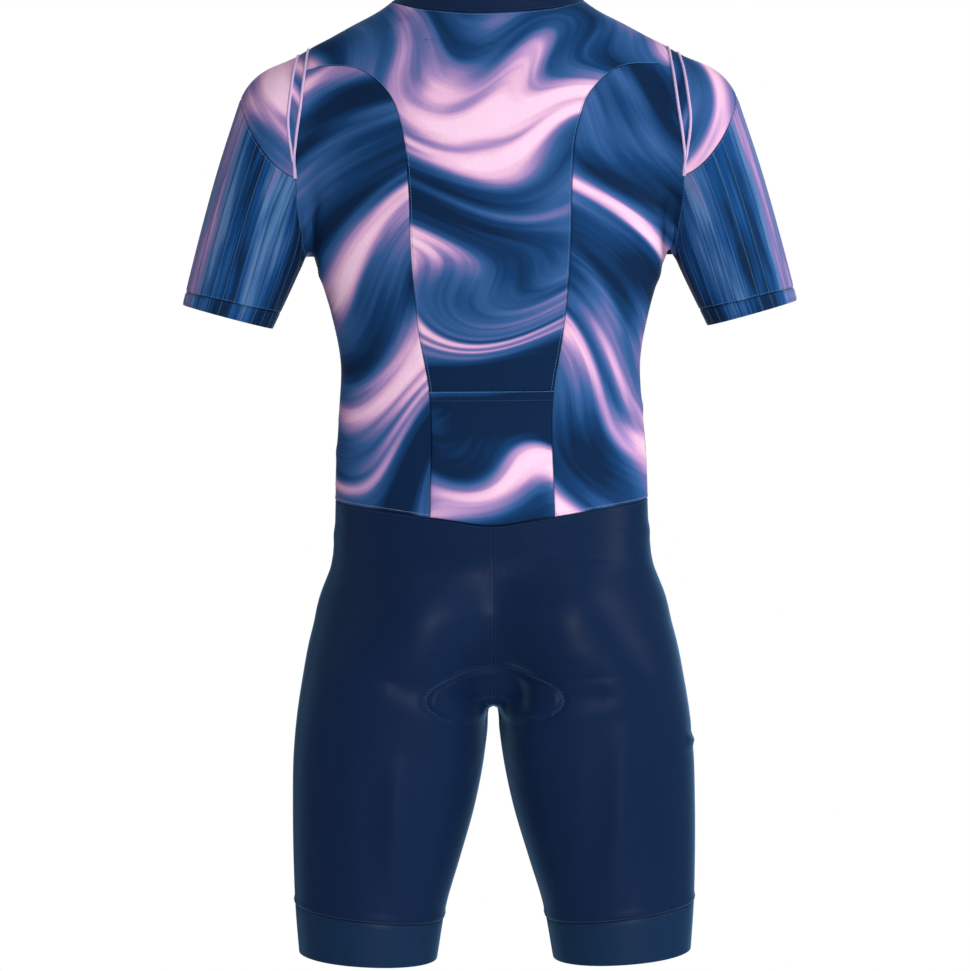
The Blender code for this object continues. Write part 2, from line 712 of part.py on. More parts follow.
def make_shorts(seams):
    """A leg piece: the hip down to the crotch, then the leg as a tube sewn along its inner side."""
    waist = joined(seams["waist_back"], seams["waist_side"], seams["waist_front"])
    middle_front = seen_from(False, np.array([0.0]), waist[-1:, 2])[0]
    waist[-1] = middle_front
    centre_back = crotch_curve(np.linspace(crotch_angle(waist[0]), 90, STRIPS["seat"] + 1))
    centre_front = crotch_curve(np.linspace(crotch_angle(middle_front), 90, STRIPS["seat"] + 1))
    centre_back[0], centre_front[0] = waist[0], middle_front
    crotch = centre_back[-1]
    angles = np.linspace(0, 360, len(waist))
    top_of_leg = hoop(leg_centre(crotch[2]), 0, angles)
    top_of_leg[0] = top_of_leg[-1] = crotch
    hip = filled(waist, top_of_leg, centre_back, centre_front)
    band_seam = hoop(leg_centre(BAND_SEAM[0]), BAND_SEAM[1], angles)
    inner_leg = straight(crotch, band_seam[0], STRIPS["leg"])
    leg = filled(top_of_leg, band_seam, inner_leg, inner_leg)
    grid = np.concatenate([hip, leg[1:]])
    pair("shorts", "navy stretch cloth", drawn_in(grid))
    hem = hoop(leg_centre(BAND_HEM[0]), BAND_HEM[1], angles)
    inner_leg = straight(band_seam[0], hem[0], STRIPS["band"])
    pair("leg_band", "gripper band", drawn_in(filled(band_seam, hem, inner_leg, inner_leg)))
    return grid


def make_pad():
    """The seat pad inside the crotch, worked outwards from the centre seam in even steps."""
    rows, steps = STRIPS["pad_length"], STRIPS["pad_half_width"]
    first, last = PAD_OUTLINE[0][0], PAD_OUTLINE[-1][0]
    angles = first + (last - first) * (1 - np.cos(np.linspace(0, math.pi, rows + 1))) / 2
    widths = smooth_through(PAD_OUTLINE, angles)[0]
    column = crotch_curve(angles)
    columns = [column]
    way = np.tile((1.0, 0.0, 0.0), (rows + 1, 1))
    for _ in range(steps):
        beside = settle(column + way * (widths / steps)[:, None])
        way = beside - column
        way /= np.linalg.norm(way, axis=1, keepdims=True)
        column = beside
        columns.append(column)
    half = np.stack(columns, 1)
    grid = np.concatenate([mirrored(half[:, :0:-1]), half], 1)
    panel("seat_pad", "seat pad foam", grid, outer=-PAD_DEPTH, inner=-PAD_DEPTH - PAD_THICKNESS)


def make_zip(seams, collar_end):
    """The zip from the waist to the collar's top: two tapes with the closed teeth as a low rib."""
    heights = joined(seams["front_edge"], collar_end)[:, 2]
    across = np.array((-ZIP_HALF_WIDTH, -TEETH_HALF_WIDTH, -TEETH_HALF_WIDTH * 0.96))
    across = np.concatenate([across, -across[::-1]])
    relief = np.where(np.abs(across) < TEETH_HALF_WIDTH, TEETH_HEIGHT, 0.0)
    grid = [seen_from(False, across, np.full(len(across), h)) for h in heights]
    grid = drawn_in(np.array(grid))
    panel("front_zip", "zip tape", grid, relief=np.tile(relief, (len(heights), 1)))
    pull_end = (heights[-1] + heights[-2]) / 2 - PULL_LENGTH
    middle = seen_from(False, np.zeros(3), np.array([pull_end, *heights[-2:]]))
    return middle + uphill(middle)[0] * TEETH_HEIGHT


def make_slider(below, foot, head):
    """The slider on the top strip of the teeth, and its pull tab, which hangs from its bridge."""
    up = Vector(head - foot).normalized()
    across = Vector((1, 0, 0))
    out = across.cross(up)
    base = (Vector(head) + Vector(foot)) / 2
    half, inner = SLIDER_HALF_WIDTH, SLIDER_HALF_WIDTH - LIP_WIDTH
    low, under, top = SLIDER_CLEAR - SLIDER_LIP, SLIDER_CLEAR, SLIDER_CLEAR + SLIDER_PLATE
    section = [(-half, low), (-inner, low), (-inner, under), (inner, under)]
    section += [(inner, low), (half, low), (half, top), (-half, top)]
    slider = extruded("zip_slider", "zip metal", section, SLIDER_LENGTH, -SLIDER_LENGTH / 2)
    placed(slider, across, out, -up, base)

    reach, gap = BRIDGE_LENGTH / 2, BRIDGE_OPENING / 2
    rise, bar = top + BRIDGE_CLEAR, top + BRIDGE_CLEAR + BRIDGE_BAR
    root = top - SLIDER_PLATE / 2
    arch = [(-reach, root), (-gap, root), (-gap, rise), (gap, rise), (gap, root), (reach, root)]
    arch += [(reach, rise), (gap, bar), (-gap, bar), (-reach, rise)]
    bridge = extruded("bridge guide", "zip metal", arch, BRIDGE_HALF_WIDTH * 2, -BRIDGE_HALF_WIDTH)
    placed(bridge, up, out, across, base)
    combined(slider, bridge, "UNION")

    w, h, c = PULL_TOP_HALF_WIDTH, PULL_HALF_WIDTH, PULL_CORNER
    crown, toe = PULL_THICKNESS / 2, -PULL_LENGTH
    right = [(w - c / 2, crown), (w, crown - c / 2), (h, toe + c * 3), (h, toe + c), (h - c, toe)]
    outline = right + [(-x, y) for x, y in reversed(right)]
    pull = extruded("zip_pull", "zip metal", outline, PULL_THICKNESS, -PULL_THICKNESS / 2)
    hinge = base + out * (top + BRIDGE_CLEAR / 2)
    up = (hinge - Vector(below) - out * PULL_REST).normalized()
    out = across.cross(up)
    placed(pull, across, up, out, hinge)
    x, low = PULL_WINDOW_HALF_WIDTH, -PULL_THICKNESS / 2 - PULL_WINDOW_LENGTH
    window = [(-x, low), (x, low), (x, -PULL_THICKNESS / 2), (-x, -PULL_THICKNESS / 2)]
    cutter = extruded("window guide", "zip metal", window, PULL_THICKNESS * 3, -PULL_THICKNESS * 1.5)
    placed(cutter, across, up, out, hinge)
    combined(pull, cutter, "DIFFERENCE")


def main():
    clear_scene()
    seams = make_seams()
    make_back(seams)
    make_side_backs(seams)
    make_fronts(seams)
    collar_end = make_collar(seams)
    make_sleeves(seams)
    make_shorts(seams)
    make_pad()
    make_slider(*make_zip(seams, collar_end))


main()
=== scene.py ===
"""The look of a short-sleeve, knee-length triathlon suit, filled out as if it were worn.

Metres, +Z up. The origin is the middle of the neck opening, at the height of the collar seam.
The suit faces -Y, so its back faces +Y and its left side is at +X.

Each cloth piece is a thin closed shell on the same general figure as its solid, cut along the same
seams. Then come the zip's teeth, the threads, the piping, the floor, the lamps and the camera.
"""

import collections
import json
import math

import bmesh
import bpy
import numpy as np
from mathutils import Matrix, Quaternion, Vector

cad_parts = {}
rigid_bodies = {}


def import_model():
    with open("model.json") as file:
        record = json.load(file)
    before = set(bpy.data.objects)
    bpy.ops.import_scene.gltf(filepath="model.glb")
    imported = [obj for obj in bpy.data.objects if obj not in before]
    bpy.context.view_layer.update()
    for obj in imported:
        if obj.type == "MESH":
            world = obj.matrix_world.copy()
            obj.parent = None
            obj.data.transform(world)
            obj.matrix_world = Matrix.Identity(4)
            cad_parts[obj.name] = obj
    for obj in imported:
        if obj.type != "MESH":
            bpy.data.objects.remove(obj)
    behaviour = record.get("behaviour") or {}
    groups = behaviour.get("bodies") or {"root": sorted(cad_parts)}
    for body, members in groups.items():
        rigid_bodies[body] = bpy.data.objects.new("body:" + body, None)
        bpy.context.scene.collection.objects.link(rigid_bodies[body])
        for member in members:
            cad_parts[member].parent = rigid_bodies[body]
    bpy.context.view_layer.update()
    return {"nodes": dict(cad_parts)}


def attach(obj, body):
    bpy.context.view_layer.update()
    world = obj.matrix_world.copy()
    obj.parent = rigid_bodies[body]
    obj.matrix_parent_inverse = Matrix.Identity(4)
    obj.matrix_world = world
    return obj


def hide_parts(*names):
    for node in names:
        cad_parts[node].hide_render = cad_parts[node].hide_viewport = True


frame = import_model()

# ---------------------------------------------------------------- driving sizes

CLOTH = 0.0013            # thickness of the suit's cloth
POCKET_CLOTH = 0.0010
POCKET_CLEAR = 0.0003     # between the pocket and the back under it
PAD_THICKNESS = 0.007
ZIP_HALF_WIDTH = 0.006    # from the centre front to the edge of a front panel

# Level rings of the body, from the neck down. Each is widest at its middle line.
# height, half_width, middle, to_front, to_back, fullness
BODY_RINGS = [
    (0.060, 0.0610, -0.012, 0.060, 0.056, 2.00),
    (0.035, 0.0650, -0.006, 0.060, 0.057, 2.00),
    (0.020, 0.0720, -0.002, 0.060, 0.059, 2.00),
    (0.008, 0.0900, 0.000, 0.061, 0.061, 2.00),
    (-0.005, 0.1080, 0.002, 0.063, 0.064, 2.00),
    (-0.021, 0.1380, 0.004, 0.066, 0.068, 2.00),
    (-0.039, 0.1680, 0.005, 0.070, 0.072, 2.05),
    (-0.064, 0.1810, 0.004, 0.077, 0.079, 2.20),
    (-0.100, 0.1890, 0.000, 0.092, 0.095, 2.35),
    (-0.150, 0.1880, -0.004, 0.110, 0.108, 2.40),
    (-0.200, 0.1830, -0.008, 0.119, 0.112, 2.40),
    (-0.240, 0.1760, -0.010, 0.120, 0.110, 2.40),
    (-0.300, 0.1580, -0.012, 0.113, 0.100, 2.40),
    (-0.350, 0.1490, -0.014, 0.105, 0.088, 2.40),
    (-0.400, 0.1515, -0.015, 0.099, 0.081, 2.40),
    (-0.450, 0.1550, -0.014, 0.098, 0.082, 2.40),
    (-0.500, 0.1560, -0.010, 0.100, 0.090, 2.35),
    (-0.550, 0.1590, -0.005, 0.100, 0.103, 2.30),
    (-0.600, 0.1600, 0.000, 0.098, 0.109, 2.20),
    (-0.625, 0.1400, 0.002, 0.086, 0.098, 2.10),
    (-0.648, 0.0950, 0.003, 0.066, 0.076, 2.00),
    (-0.664, 0.0600, 0.002, 0.054, 0.063, 2.00),
    (-0.675, 0.0300, 0.001, 0.041, 0.050, 2.00),
    (-0.683, 0.0150, 0.001, 0.024, 0.031, 2.00),
]
BODY_BOTTOM = -0.684

# Level rings of the left leg, from inside the hip down.
# height, centre, half_width, middle, to_front, to_back, fullness
LEG_RINGS = [
    (-0.540, 0.0780, 0.0600, 0.000, 0.056, 0.062, 2.00),
    (-0.580, 0.0870, 0.0810, 0.000, 0.076, 0.088, 2.10),
    (-0.620, 0.0930, 0.0885, 0.000, 0.085, 0.099, 2.20),
    (-0.660, 0.0980, 0.0915, 0.000, 0.088, 0.100, 2.20),
    (-0.700, 0.1005, 0.0955, -0.002, 0.087, 0.094, 2.20),
    (-0.740, 0.1045, 0.0955, -0.004, 0.085, 0.088, 2.20),
    (-0.790, 0.1100, 0.0915, -0.006, 0.083, 0.082, 2.15),
    (-0.850, 0.1185, 0.0830, -0.008, 0.078, 0.076, 2.10),
    (-0.890, 0.1240, 0.0765, -0.009, 0.073, 0.072, 2.10),
    (-0.950, 0.1275, 0.0690, -0.010, 0.067, 0.066, 2.10),
]
LEG_TOP = -0.530
SEAT_MIDDLE = -0.600      # height from which the centre seam of the shorts is worked out

# The left arm: a rounded shoulder end, then rings square to the line from SHOULDER to WRISTWARD
SHOULDER = np.array((0.1900, 0.004, -0.113))
WRISTWARD = np.array((0.2635, -0.010, -0.310))
# along, half_width, half_depth
ARM_RINGS = [
    (0.000, 0.0590, 0.0620),
    (0.070, 0.0570, 0.0580),
    (0.140, 0.0520, 0.0530),
    (0.213, 0.0450, 0.0470),
]

# How softly the limbs run into the body: height, blend
CROTCH_BLENDS = [
    (-0.740, 0.010),
    (-0.691, 0.014),
    (-0.676, 0.030),
    (-0.651, 0.050),
    (-0.600, 0.060),
]
HIP_BLEND = 0.022
SHOULDER_BLENDS = [
    (-0.260, 0.004),
    (-0.215, 0.006),
    (-0.150, 0.040),
    (-0.090, 0.034),
    (0.000, 0.034),
]

# Seams. Turns are degrees round the body from the centre back, and 90 is the wearer's left.
COLLAR_SEAM = [(-45, -0.0080), (0, -0.0120), (45, -0.0080), (90, 0.0030), (135, -0.0220), (180, -0.0580)]
COLLAR_TOP = [(0, 0.0340), (45, 0.0360), (90, 0.0370), (135, 0.0160), (180, -0.0120)]
WAIST_SEAM = [(-35, -0.5000), (0, -0.5070), (35, -0.5000), (90, -0.4865), (140, -0.4890), (180, -0.4920)]
NECK_POINT_TURN = 101     # where the shoulder seam meets the collar, just in front of the ridge
SIDE_SEAM_TURN = 92       # where the side seam meets the waist

# The curved back seam, seen from behind: share of its length, distance out from the centre, height
BACK_SEAM = [
    (0.00, 0.0605, -0.4990),
    (0.25, 0.0605, -0.3770),
    (0.37, 0.0700, -0.3200),
    (0.53, 0.0770, -0.2400),
    (0.66, 0.0785, -0.1800),
    (0.77, 0.0840, -0.1250),
    (0.85, 0.0970, -0.0890),
    (0.93, 0.1300, -0.0630),
    (1.00, 0.1740, -0.0600),
]
POCKET_SHARE = 0.25       # where the pocket's mouth crosses it

# The armhole, seen from behind: height, distance out. Its angles start under the arm and run
# by the back over the top.
ARMHOLE = [(-0.240, 0.1810), (-0.190, 0.1875), (-0.150, 0.1880), (-0.100, 0.1815), (-0.035, 0.1750)]
ARMHOLE_MIDDLE = (0.002, -0.140)
CAP_BACK_ANGLE = 62
BACK_SEAM_ANGLE = 150
SHOULDER_SEAM_ANGLE = 188
CAP_FRONT_ANGLE = 298
CAP_TOP_ALONG = -0.004    # the cap's lower edge, along the arm, at its highest point

# Slanted hoops: centre height, degrees by which the outer side is higher
CUFF_SEAM = (-0.2890, 13.0)
CUFF_HEM = (-0.3035, 15.5)
BAND_SEAM = (-0.8995, 6.5)
BAND_HEM = (-0.9450, 3.5)

# How many strips each stretch of seam is divided into, and how often a grid's points are evened out
EVENING_ROUNDS = 60
STRIPS = {
    "shoulder": 2,
    "collar_back": 8,
    "collar_front": 5,
    "collar_rise": 3,
    "pocket": 4,
    "back_seam": 12,
    "side_back": 7,
    "armhole_under_back": 3,
    "armhole_back": 4,
    "armhole_top": 2,
    "armhole_front": 5,
    "armhole_under_front": 3,
    "sleeve": 7,
    "cap": 4,
    "cuff": 1,
    "seat": 9,
    "leg": 6,
    "band": 2,
    "pad_length": 12,
    "pad_half_width": 4,
}

# The seat pad: angle round the centre seam of the shorts, half width. Its face is this deep inside.
PAD_OUTLINE = [
    (28, 0.004),
    (35, 0.044),
    (47, 0.068),
    (64, 0.071),
    (90, 0.048),
    (120, 0.042),
    (145, 0.036),
    (156, 0.006),
]
PAD_DEPTH = 0.0050

# How many times finer the cloth is than those strips, with extra rows close to each border
FINE = 8
MARGINS = (0.10, 0.32)

# Seams: both cloths roll down into a groove, and shade is painted into their colour in it. A faint
# seam's painted shade starts as if the seam were further away than it is.
GROOVES = {"sewn": 0.00055, "faint": 0.00014}
SHADE_SHIFT = {"sewn": 0.0, "faint": 0.0010}
GROOVE_WIDTH = 0.0018
# Painted shade at a seam: the width over which the colour darkens, and the share of it left at the bottom
SHADE_WIDTH = 0.0012
SHADE_DARKEST = 0.35      # the share of its light that cloth has at the bottom of a groove

# The sleeve's ribs: how many go round, and the rise of the cloth over the width of one
RIBS = 26
RIB_RISE = 0.00055
RIB_PROFILE = [(0.00, 0.0), (0.07, 1.0), (0.15, 0.1), (0.24, -0.25), (0.45, 0.0), (0.72, 0.05)]
RIB_START = 0.0005        # from a seam
RIB_FADE = 0.0020         # the length over which they reach their full height

# The strip along the armhole
STRIP_WIDTH = 0.0125      # at the top of the shoulder
STRIP_TAPER = 0.070       # the length over which it narrows to its point
STRIP_EDGE = 0.0010       # the width over which its colours change to the cap's

# Folds in the cloth. The ends are seen from the back, or the front: distance out, height.
# A fold that fades "far" is highest at its first end, and one that fades at "both" in its middle.
# back, from_out, from_height, to_out, to_height, half_width, rise, fades
FOLDS = [
    (True, 0.191, -0.150, 0.144, -0.128, 0.0048, 0.0021, "far"),
    (True, 0.186, -0.163, 0.150, -0.144, 0.0055, -0.0012, "both"),
    (True, 0.183, -0.222, 0.146, -0.196, 0.0060, 0.0013, "far"),
    (True, 0.178, -0.244, 0.128, -0.232, 0.0060, 0.0012, "far"),
    (True, 0.172, -0.262, 0.126, -0.272, 0.0070, 0.0010, "far"),
    (True, -0.190, -0.150, -0.160, -0.126, 0.0040, 0.0016, "far"),
    (True, -0.184, -0.214, -0.150, -0.184, 0.0060, 0.0014, "far"),
    (True, -0.178, -0.246, -0.132, -0.240, 0.0065, 0.0012, "far"),
    (True, -0.170, -0.266, -0.128, -0.286, 0.0070, 0.0009, "far"),
    (True, 0.180, -0.150, 0.172, -0.264, 0.0110, -0.0036, "both"),
    (True, -0.180, -0.156, -0.171, -0.262, 0.0110, -0.0030, "both"),
    (True, 0.150, -0.405, 0.104, -0.392, 0.0070, 0.0009, "far"),
    (True, 0.153, -0.438, 0.100, -0.446, 0.0075, 0.0010, "far"),
    (True, 0.154, -0.470, 0.112, -0.482, 0.0060, 0.0008, "far"),
    (True, -0.151, -0.396, -0.098, -0.404, 0.0075, 0.0010, "far"),
    (True, -0.153, -0.452, -0.108, -0.440, 0.0070, 0.0009, "far"),
    (True, 0.062, -0.010, 0.104, -0.030, 0.0060, 0.0009, "both"),
    (True, -0.060, -0.012, -0.112, -0.034, 0.0065, 0.0010, "both"),
    (True, 0.080, -0.540, 0.084, -0.656, 0.0390, 0.0085, "both"),
    (True, -0.082, -0.540, -0.088, -0.654, 0.0390, 0.0085, "both"),
    (True, 0.001, -0.550, 0.000, -0.712, 0.0300, -0.0110, "both"),
    (True, -0.004, -0.640, -0.034, -0.700, 0.0120, -0.0030, "both"),
    (True, 0.104, -0.666, -0.110, -0.668, 0.0170, -0.0042, "both"),
    (True, 0.024, -0.694, 0.008, -0.697, 0.0022, 0.0009, "both"),
    (True, 0.028, -0.702, 0.012, -0.706, 0.0022, 0.0008, "both"),
    (True, 0.064, -0.674, 0.130, -0.640, 0.0090, -0.0010, "both"),
    (True, -0.060, -0.676, -0.128, -0.672, 0.0080, -0.0014, "both"),
    (True, 0.095, -0.728, 0.100, -0.876, 0.0130, 0.0034, "both"),
    (True, -0.128, -0.700, -0.117, -0.882, 0.0140, 0.0034, "both"),
    (True, 0.066, -0.720, 0.034, -0.742, 0.0050, 0.0009, "both"),
    (True, -0.062, -0.716, -0.028, -0.744, 0.0055, 0.0010, "both"),
    (True, -0.190, -0.724, -0.2025, -0.730, 0.0045, 0.0022, "both"),
    (True, 0.160, -0.520, 0.112, -0.516, 0.0060, 0.0007, "far"),
    (True, -0.160, -0.518, -0.118, -0.524, 0.0060, 0.0007, "far"),
    (True, 0.235, -0.205, 0.210, -0.232, 0.0060, 0.0010, "both"),
    (True, -0.240, -0.212, -0.206, -0.226, 0.0060, 0.0009, "both"),
    (False, 0.186, -0.160, 0.140, -0.128, 0.0060, 0.0020, "far"),
    (False, 0.184, -0.196, 0.130, -0.176, 0.0065, 0.0015, "far"),
    (False, 0.176, -0.236, 0.118, -0.244, 0.0070, 0.0012, "far"),
    (False, -0.188, -0.154, -0.146, -0.116, 0.0055, 0.0018, "far"),
    (False, -0.184, -0.188, -0.124, -0.160, 0.0070, 0.0016, "far"),
    (False, -0.178, -0.228, -0.114, -0.222, 0.0065, 0.0013, "far"),
    (False, 0.150, -0.410, 0.090, -0.396, 0.0075, 0.0011, "far"),
    (False, 0.153, -0.452, 0.082, -0.462, 0.0080, 0.0012, "far"),
    (False, -0.150, -0.400, -0.096, -0.410, 0.0075, 0.0010, "far"),
    (False, -0.153, -0.446, -0.078, -0.440, 0.0080, 0.0012, "far"),
    (False, 0.070, -0.640, 0.016, -0.690, 0.0070, 0.0014, "both"),
    (False, -0.074, -0.648, -0.016, -0.692, 0.0070, 0.0013, "both"),
    (False, 0.106, -0.662, 0.040, -0.716, 0.0080, 0.0011, "both"),
    (False, -0.100, -0.654, -0.038, -0.712, 0.0080, 0.0012, "both"),
]

FOLD_POINTS = 9           # along each fold
TROUGH = 0.3              # depth of the dip on each side of a fold, as a share of its rise
FADES = {"far": 0.8, "both": 0.7}    # below 1, a fold fades late

# Rolls of cloth along a border, and dips: rise, distance from the border, half width
WAIST_ROLL = (0.0005, 0.0013, 0.0009)
BAND_ROLL = (0.0011, 0.0036, 0.0026)
POCKET_DIP = (-0.0004, 0.0116, 0.0011)
LOBE_DIP = (-0.0022, -0.0010, 0.0017)

# Flat hems along a border, and the sunk top of the leg band: rise, width, width of the step
COLLAR_HEM = (0.0004, 0.0070, 0.0012)
POCKET_HEM = (0.0005, 0.0092, 0.0008)
BAND_SINK = (-0.0003, 0.0, 0.0040)

CROTCH_HALF_WIDTH = 0.0008    # from the centre line to the top of a leg, where both legs meet

# Seat pad
PAD_FINE = 4              # how many times finer than its solid
PAD_RISE = 0.0034         # how far it presses the shorts out
PAD_SLOPE = 0.0050        # the width over which it does
PAD_EDGE = 0.0015         # thickness at its border
PAD_EDGE_CLEAR = 0.0004   # how much further from the shorts it is there
PAD_BEVEL = 0.022         # width of the border, which slopes up to the full thickness
PAD_END_STEEPNESS = 1.5   # how much steeper that slope is at both ends
PAD_FULLNESS = 0.7        # below 1, the slope is rounded outwards

# Channels in the pad: share of its thickness, distance from its border or its middle, half width
PAD_CHANNEL = (0.45, 0.020, 0.0022)
PAD_MIDDLE_CHANNEL = (0.35, 0.0, 0.0025)

# The pad's end presses a lobe out of each side of the seat, and they meet at the middle. The left
# lobe's border, seen from the back: distance out, height
LOBE = [
    (-0.0200, -0.6580),
    (0.0120, -0.6548),
    (0.0280, -0.6542),
    (0.0450, -0.6575),
    (0.0580, -0.6635),
    (0.0655, -0.6720),
    (0.0655, -0.6820),
    (0.0570, -0.6900),
    (0.0430, -0.6955),
    (0.0290, -0.7005),
    (0.0140, -0.7040),
    (-0.0200, -0.7060),
]
LOBE_SEWN = slice(1, 8)   # the part of that border with stitches on it
LOBE_DEPTH = 0.010        # nothing is pressed out that isn't this far behind the middle

# Angles from which an edge is drawn sharp, and how close the points of a cloth's tip are
CLOTH_SHARP_FROM = math.radians(50)
CORD_SHARP_FROM = math.radians(70)
WELD_REACH = 0.00002

# Threads and piping
THREAD_WIDTH = 0.00045
THREAD_HEIGHT = THREAD_WIDTH * 0.7
BAR_SHOULDER = 0.6        # where a stitch starts to narrow, as a share of half its length
PIPING_RADIUS = 0.0015
PIPING_SIDES = 6
PIPING_RISE = 0.2         # its middle above the cloth, as a share of its radius
PIPING_INSET = 0.0011     # from the armhole to the first cord

# The zip's coil and its tape
TEETH_HALF_WIDTH = 0.0026
TOOTH_HEIGHT = 0.0010
TOOTH_WIDTH = 0.0010
TOOTH_PITCH = 0.0016
TOOTH_LENGTH = TEETH_HALF_WIDTH * 1.25
TOOTH_OFFSET = TEETH_HALF_WIDTH * 0.36    # from the middle of the zip to the middle of a tooth
TAPE_SINK = 0.0002        # below the panels beside it
TAPE_STRIPS = 14

# The flat cut of each piece of cloth as it shows: width, length, area where it isn't a rectangle
CUTS = {
    "collar": (0.440, 0.050, 0.0195),
    "back_centre": (0.340, 0.480, 0.0840),
    "back_pocket": (0.120, 0.130, None),
    "back_side": (0.170, 0.440, 0.0460),
    "front": (0.260, 0.460, 0.0870),
    "sleeve_cap": (0.060, 0.300, 0.0145),
    "sleeve": (0.310, 0.170, 0.0400),
    "cuff": (0.260, 0.017, None),
    "shorts": (0.500, 0.470, 0.1800),
    "leg_band": (0.400, 0.0455, None),
    "front_zip": (0.013, 0.530, None),
}

# The record's material slot of each piece; no finish is taken from it
SLOTS = {
    "collar": "navy_cloth",
    "shorts": "navy_cloth",
    "back_centre": "printed_cloth",
    "back_side": "printed_cloth",
    "front": "printed_cloth",
    "back_pocket": "printed_cloth",
    "sleeve_cap": "printed_cloth",
    "sleeve": "ribbed_cloth",
    "cuff": "ribbed_cloth",
    "leg_band": "gripper_band",
    "front_zip": "zip_tape",
}
SIDES = ("left", "right")
ALL_SEWN = {"start": "sewn", "end": "sewn", "left": "sewn", "right": "sewn"}

# Rows of stitches: piece, border, distance from it, thread, spacing, length, slant
SEWING = [
    ("back_centre", "left", 0.0022, "sky", 0.0030, 0.0029, 0),
    ("back_centre", "right", 0.0022, "sky", 0.0030, 0.0029, 0),
    ("back_centre", "end", 0.0022, "pale_blue", 0.0032, 0.0026, 0),
    ("back_centre", "start", 0.0026, "lavender", 0.0030, 0.0024, 0),
    ("back_pocket", "end", 0.0092, "steel_blue", 0.0030, 0.0026, 0),
    ("back_pocket", "end", 0.0006, "sky", 0.0026, 0.0034, 12),
    ("back_side_SIDE", "start", 0.0026, "lavender", 0.0030, 0.0024, 0),
    ("back_side_SIDE", "right", 0.0022, "pale_blue", 0.0032, 0.0026, 0),
    ("front_SIDE", "start", 0.0026, "lavender", 0.0030, 0.0024, 0),
    ("front_SIDE", "end", 0.0022, "pale_blue", 0.0032, 0.0026, 0),
    ("front_SIDE", "left", 0.0022, "pale_blue", 0.0032, 0.0026, 0),
    ("front_SIDE", "right", 0.0030, "navy", 0.0030, 0.0024, 0),
    ("collar", "start", 0.0022, "navy", 0.0030, 0.0024, 0),
    ("collar", "end", 0.0060, "navy", 0.0030, 0.0024, 0),
    ("sleeve_SIDE", "end", 0.0020, "pale_blue", 0.0032, 0.0026, 0),
    ("sleeve_SIDE", "start", 0.0018, "sky", 0.0030, 0.0026, 0),
    ("cuff_SIDE", "end", 0.0018, "navy", 0.0030, 0.0024, 0),
    ("cuff_SIDE", "start", 0.0030, "navy", 0.0030, 0.0024, 0),
    ("shorts_SIDE", "start", 0.0024, "navy", 0.0030, 0.0024, 0),
    ("shorts_SIDE", "left", 0.0020, "navy", 0.0030, 0.0024, 0),
    ("shorts_SIDE", "right", 0.0020, "navy", 0.0030, 0.0024, 0),
    ("shorts_SIDE", "end", 0.0017, "steel_blue", 0.0028, 0.0024, 0),
    ("leg_band_SIDE", "start", 0.0022, "navy", 0.0030, 0.0024, 0),
]
LOBE_STITCHES = (0.0021, 0.0040, 58)    # spacing, length, slant


# ---------------------------------------------------------------- the general figure

def smooth_through(rows, at):
    """The columns of a table read at places on smooth curves. Its first column gives the rows' places."""
    rows = np.asarray(rows, float)
    rows = rows[np.argsort(rows[:, 0])]
    where, values = rows[:, 0], rows[:, 1:]
    widths = np.diff(where)[:, None]
    slopes = np.diff(values, axis=0) / widths
    inner = (slopes[:-1] * widths[1:] + slopes[1:] * widths[:-1]) / (widths[1:] + widths[:-1])
    slopes_at = np.vstack([slopes[:1], inner, slopes[-1:]])
    at = np.clip(np.atleast_1d(at), where[0], where[-1])
    i = np.clip(np.searchsorted(where, at) - 1, 0, len(where) - 2)
    t = (at - where[i])[:, None] / widths[i]
    kept = values[i] * (1 + 2 * t) * (1 - t) ** 2 + values[i + 1] * t * t * (3 - 2 * t)
    bent = slopes_at[i] * t * (1 - t) ** 2 - slopes_at[i + 1] * t * t * (1 - t)
    return (kept + bent * widths[i]).T


def ring_reach(ring, across, y):
    """How far a level ring reaches in the direction of each point, and how far out the point is."""
    half_width, middle, to_front, to_back, fullness = ring
    deep = y - middle
    depth = np.where(deep > 0, to_back, to_front)
    spread = np.abs(across / half_width) ** fullness + np.abs(deep / depth) ** fullness
    out = np.hypot(across, deep) + 1e-9
    return out / (spread ** (1 / fullness) + 1e-9), out


def outside_rings(rows, points, centred):
    """How far points are outside a stack of level rings, measured square to its slope."""
    x, y, z = points.T
    step = 0.004

    def reach_at(height):
        """How far the ring at each point's height reaches, and how far out the point is."""
        table = smooth_through(rows, height)
        across = x - table[0] if centred else x
        return ring_reach(table[1:] if centred else table, across, y)

    reach, out = reach_at(z)
    slope = (reach_at(z + step)[0] - reach_at(z - step)[0]) / (2 * step)
    return (out - reach) / np.sqrt(1 + slope ** 2)


def outside_arm(points):
    """How far points are outside the left arm."""
    length = np.linalg.norm(WRISTWARD - SHOULDER)
    axis = (WRISTWARD - SHOULDER) / length
    across = np.cross(axis, (0, 1, 0))
    across /= np.linalg.norm(across)
    deep = np.cross(across, axis)
    from_shoulder = points - SHOULDER
    along = from_shoulder @ axis
    half_width, half_depth = smooth_through(ARM_RINGS, np.clip(along, 0, length))
    deep_share = (from_shoulder @ deep) * half_width / half_depth
    above = np.minimum(along, 0)
    return np.sqrt((from_shoulder @ across) ** 2 + deep_share ** 2 + above ** 2) - half_width


def unit(rows):
    """Rows of numbers as ways of length 1."""
    return rows / np.linalg.norm(rows, axis=1, keepdims=True)


def soft_union(one, other, blend):
    """The nearer of two distances, rounded where they are alike."""
    overlap = np.maximum(blend - np.abs(one - other), 0) / blend
    return np.minimum(one, other) - overlap ** 2 * blend / 4


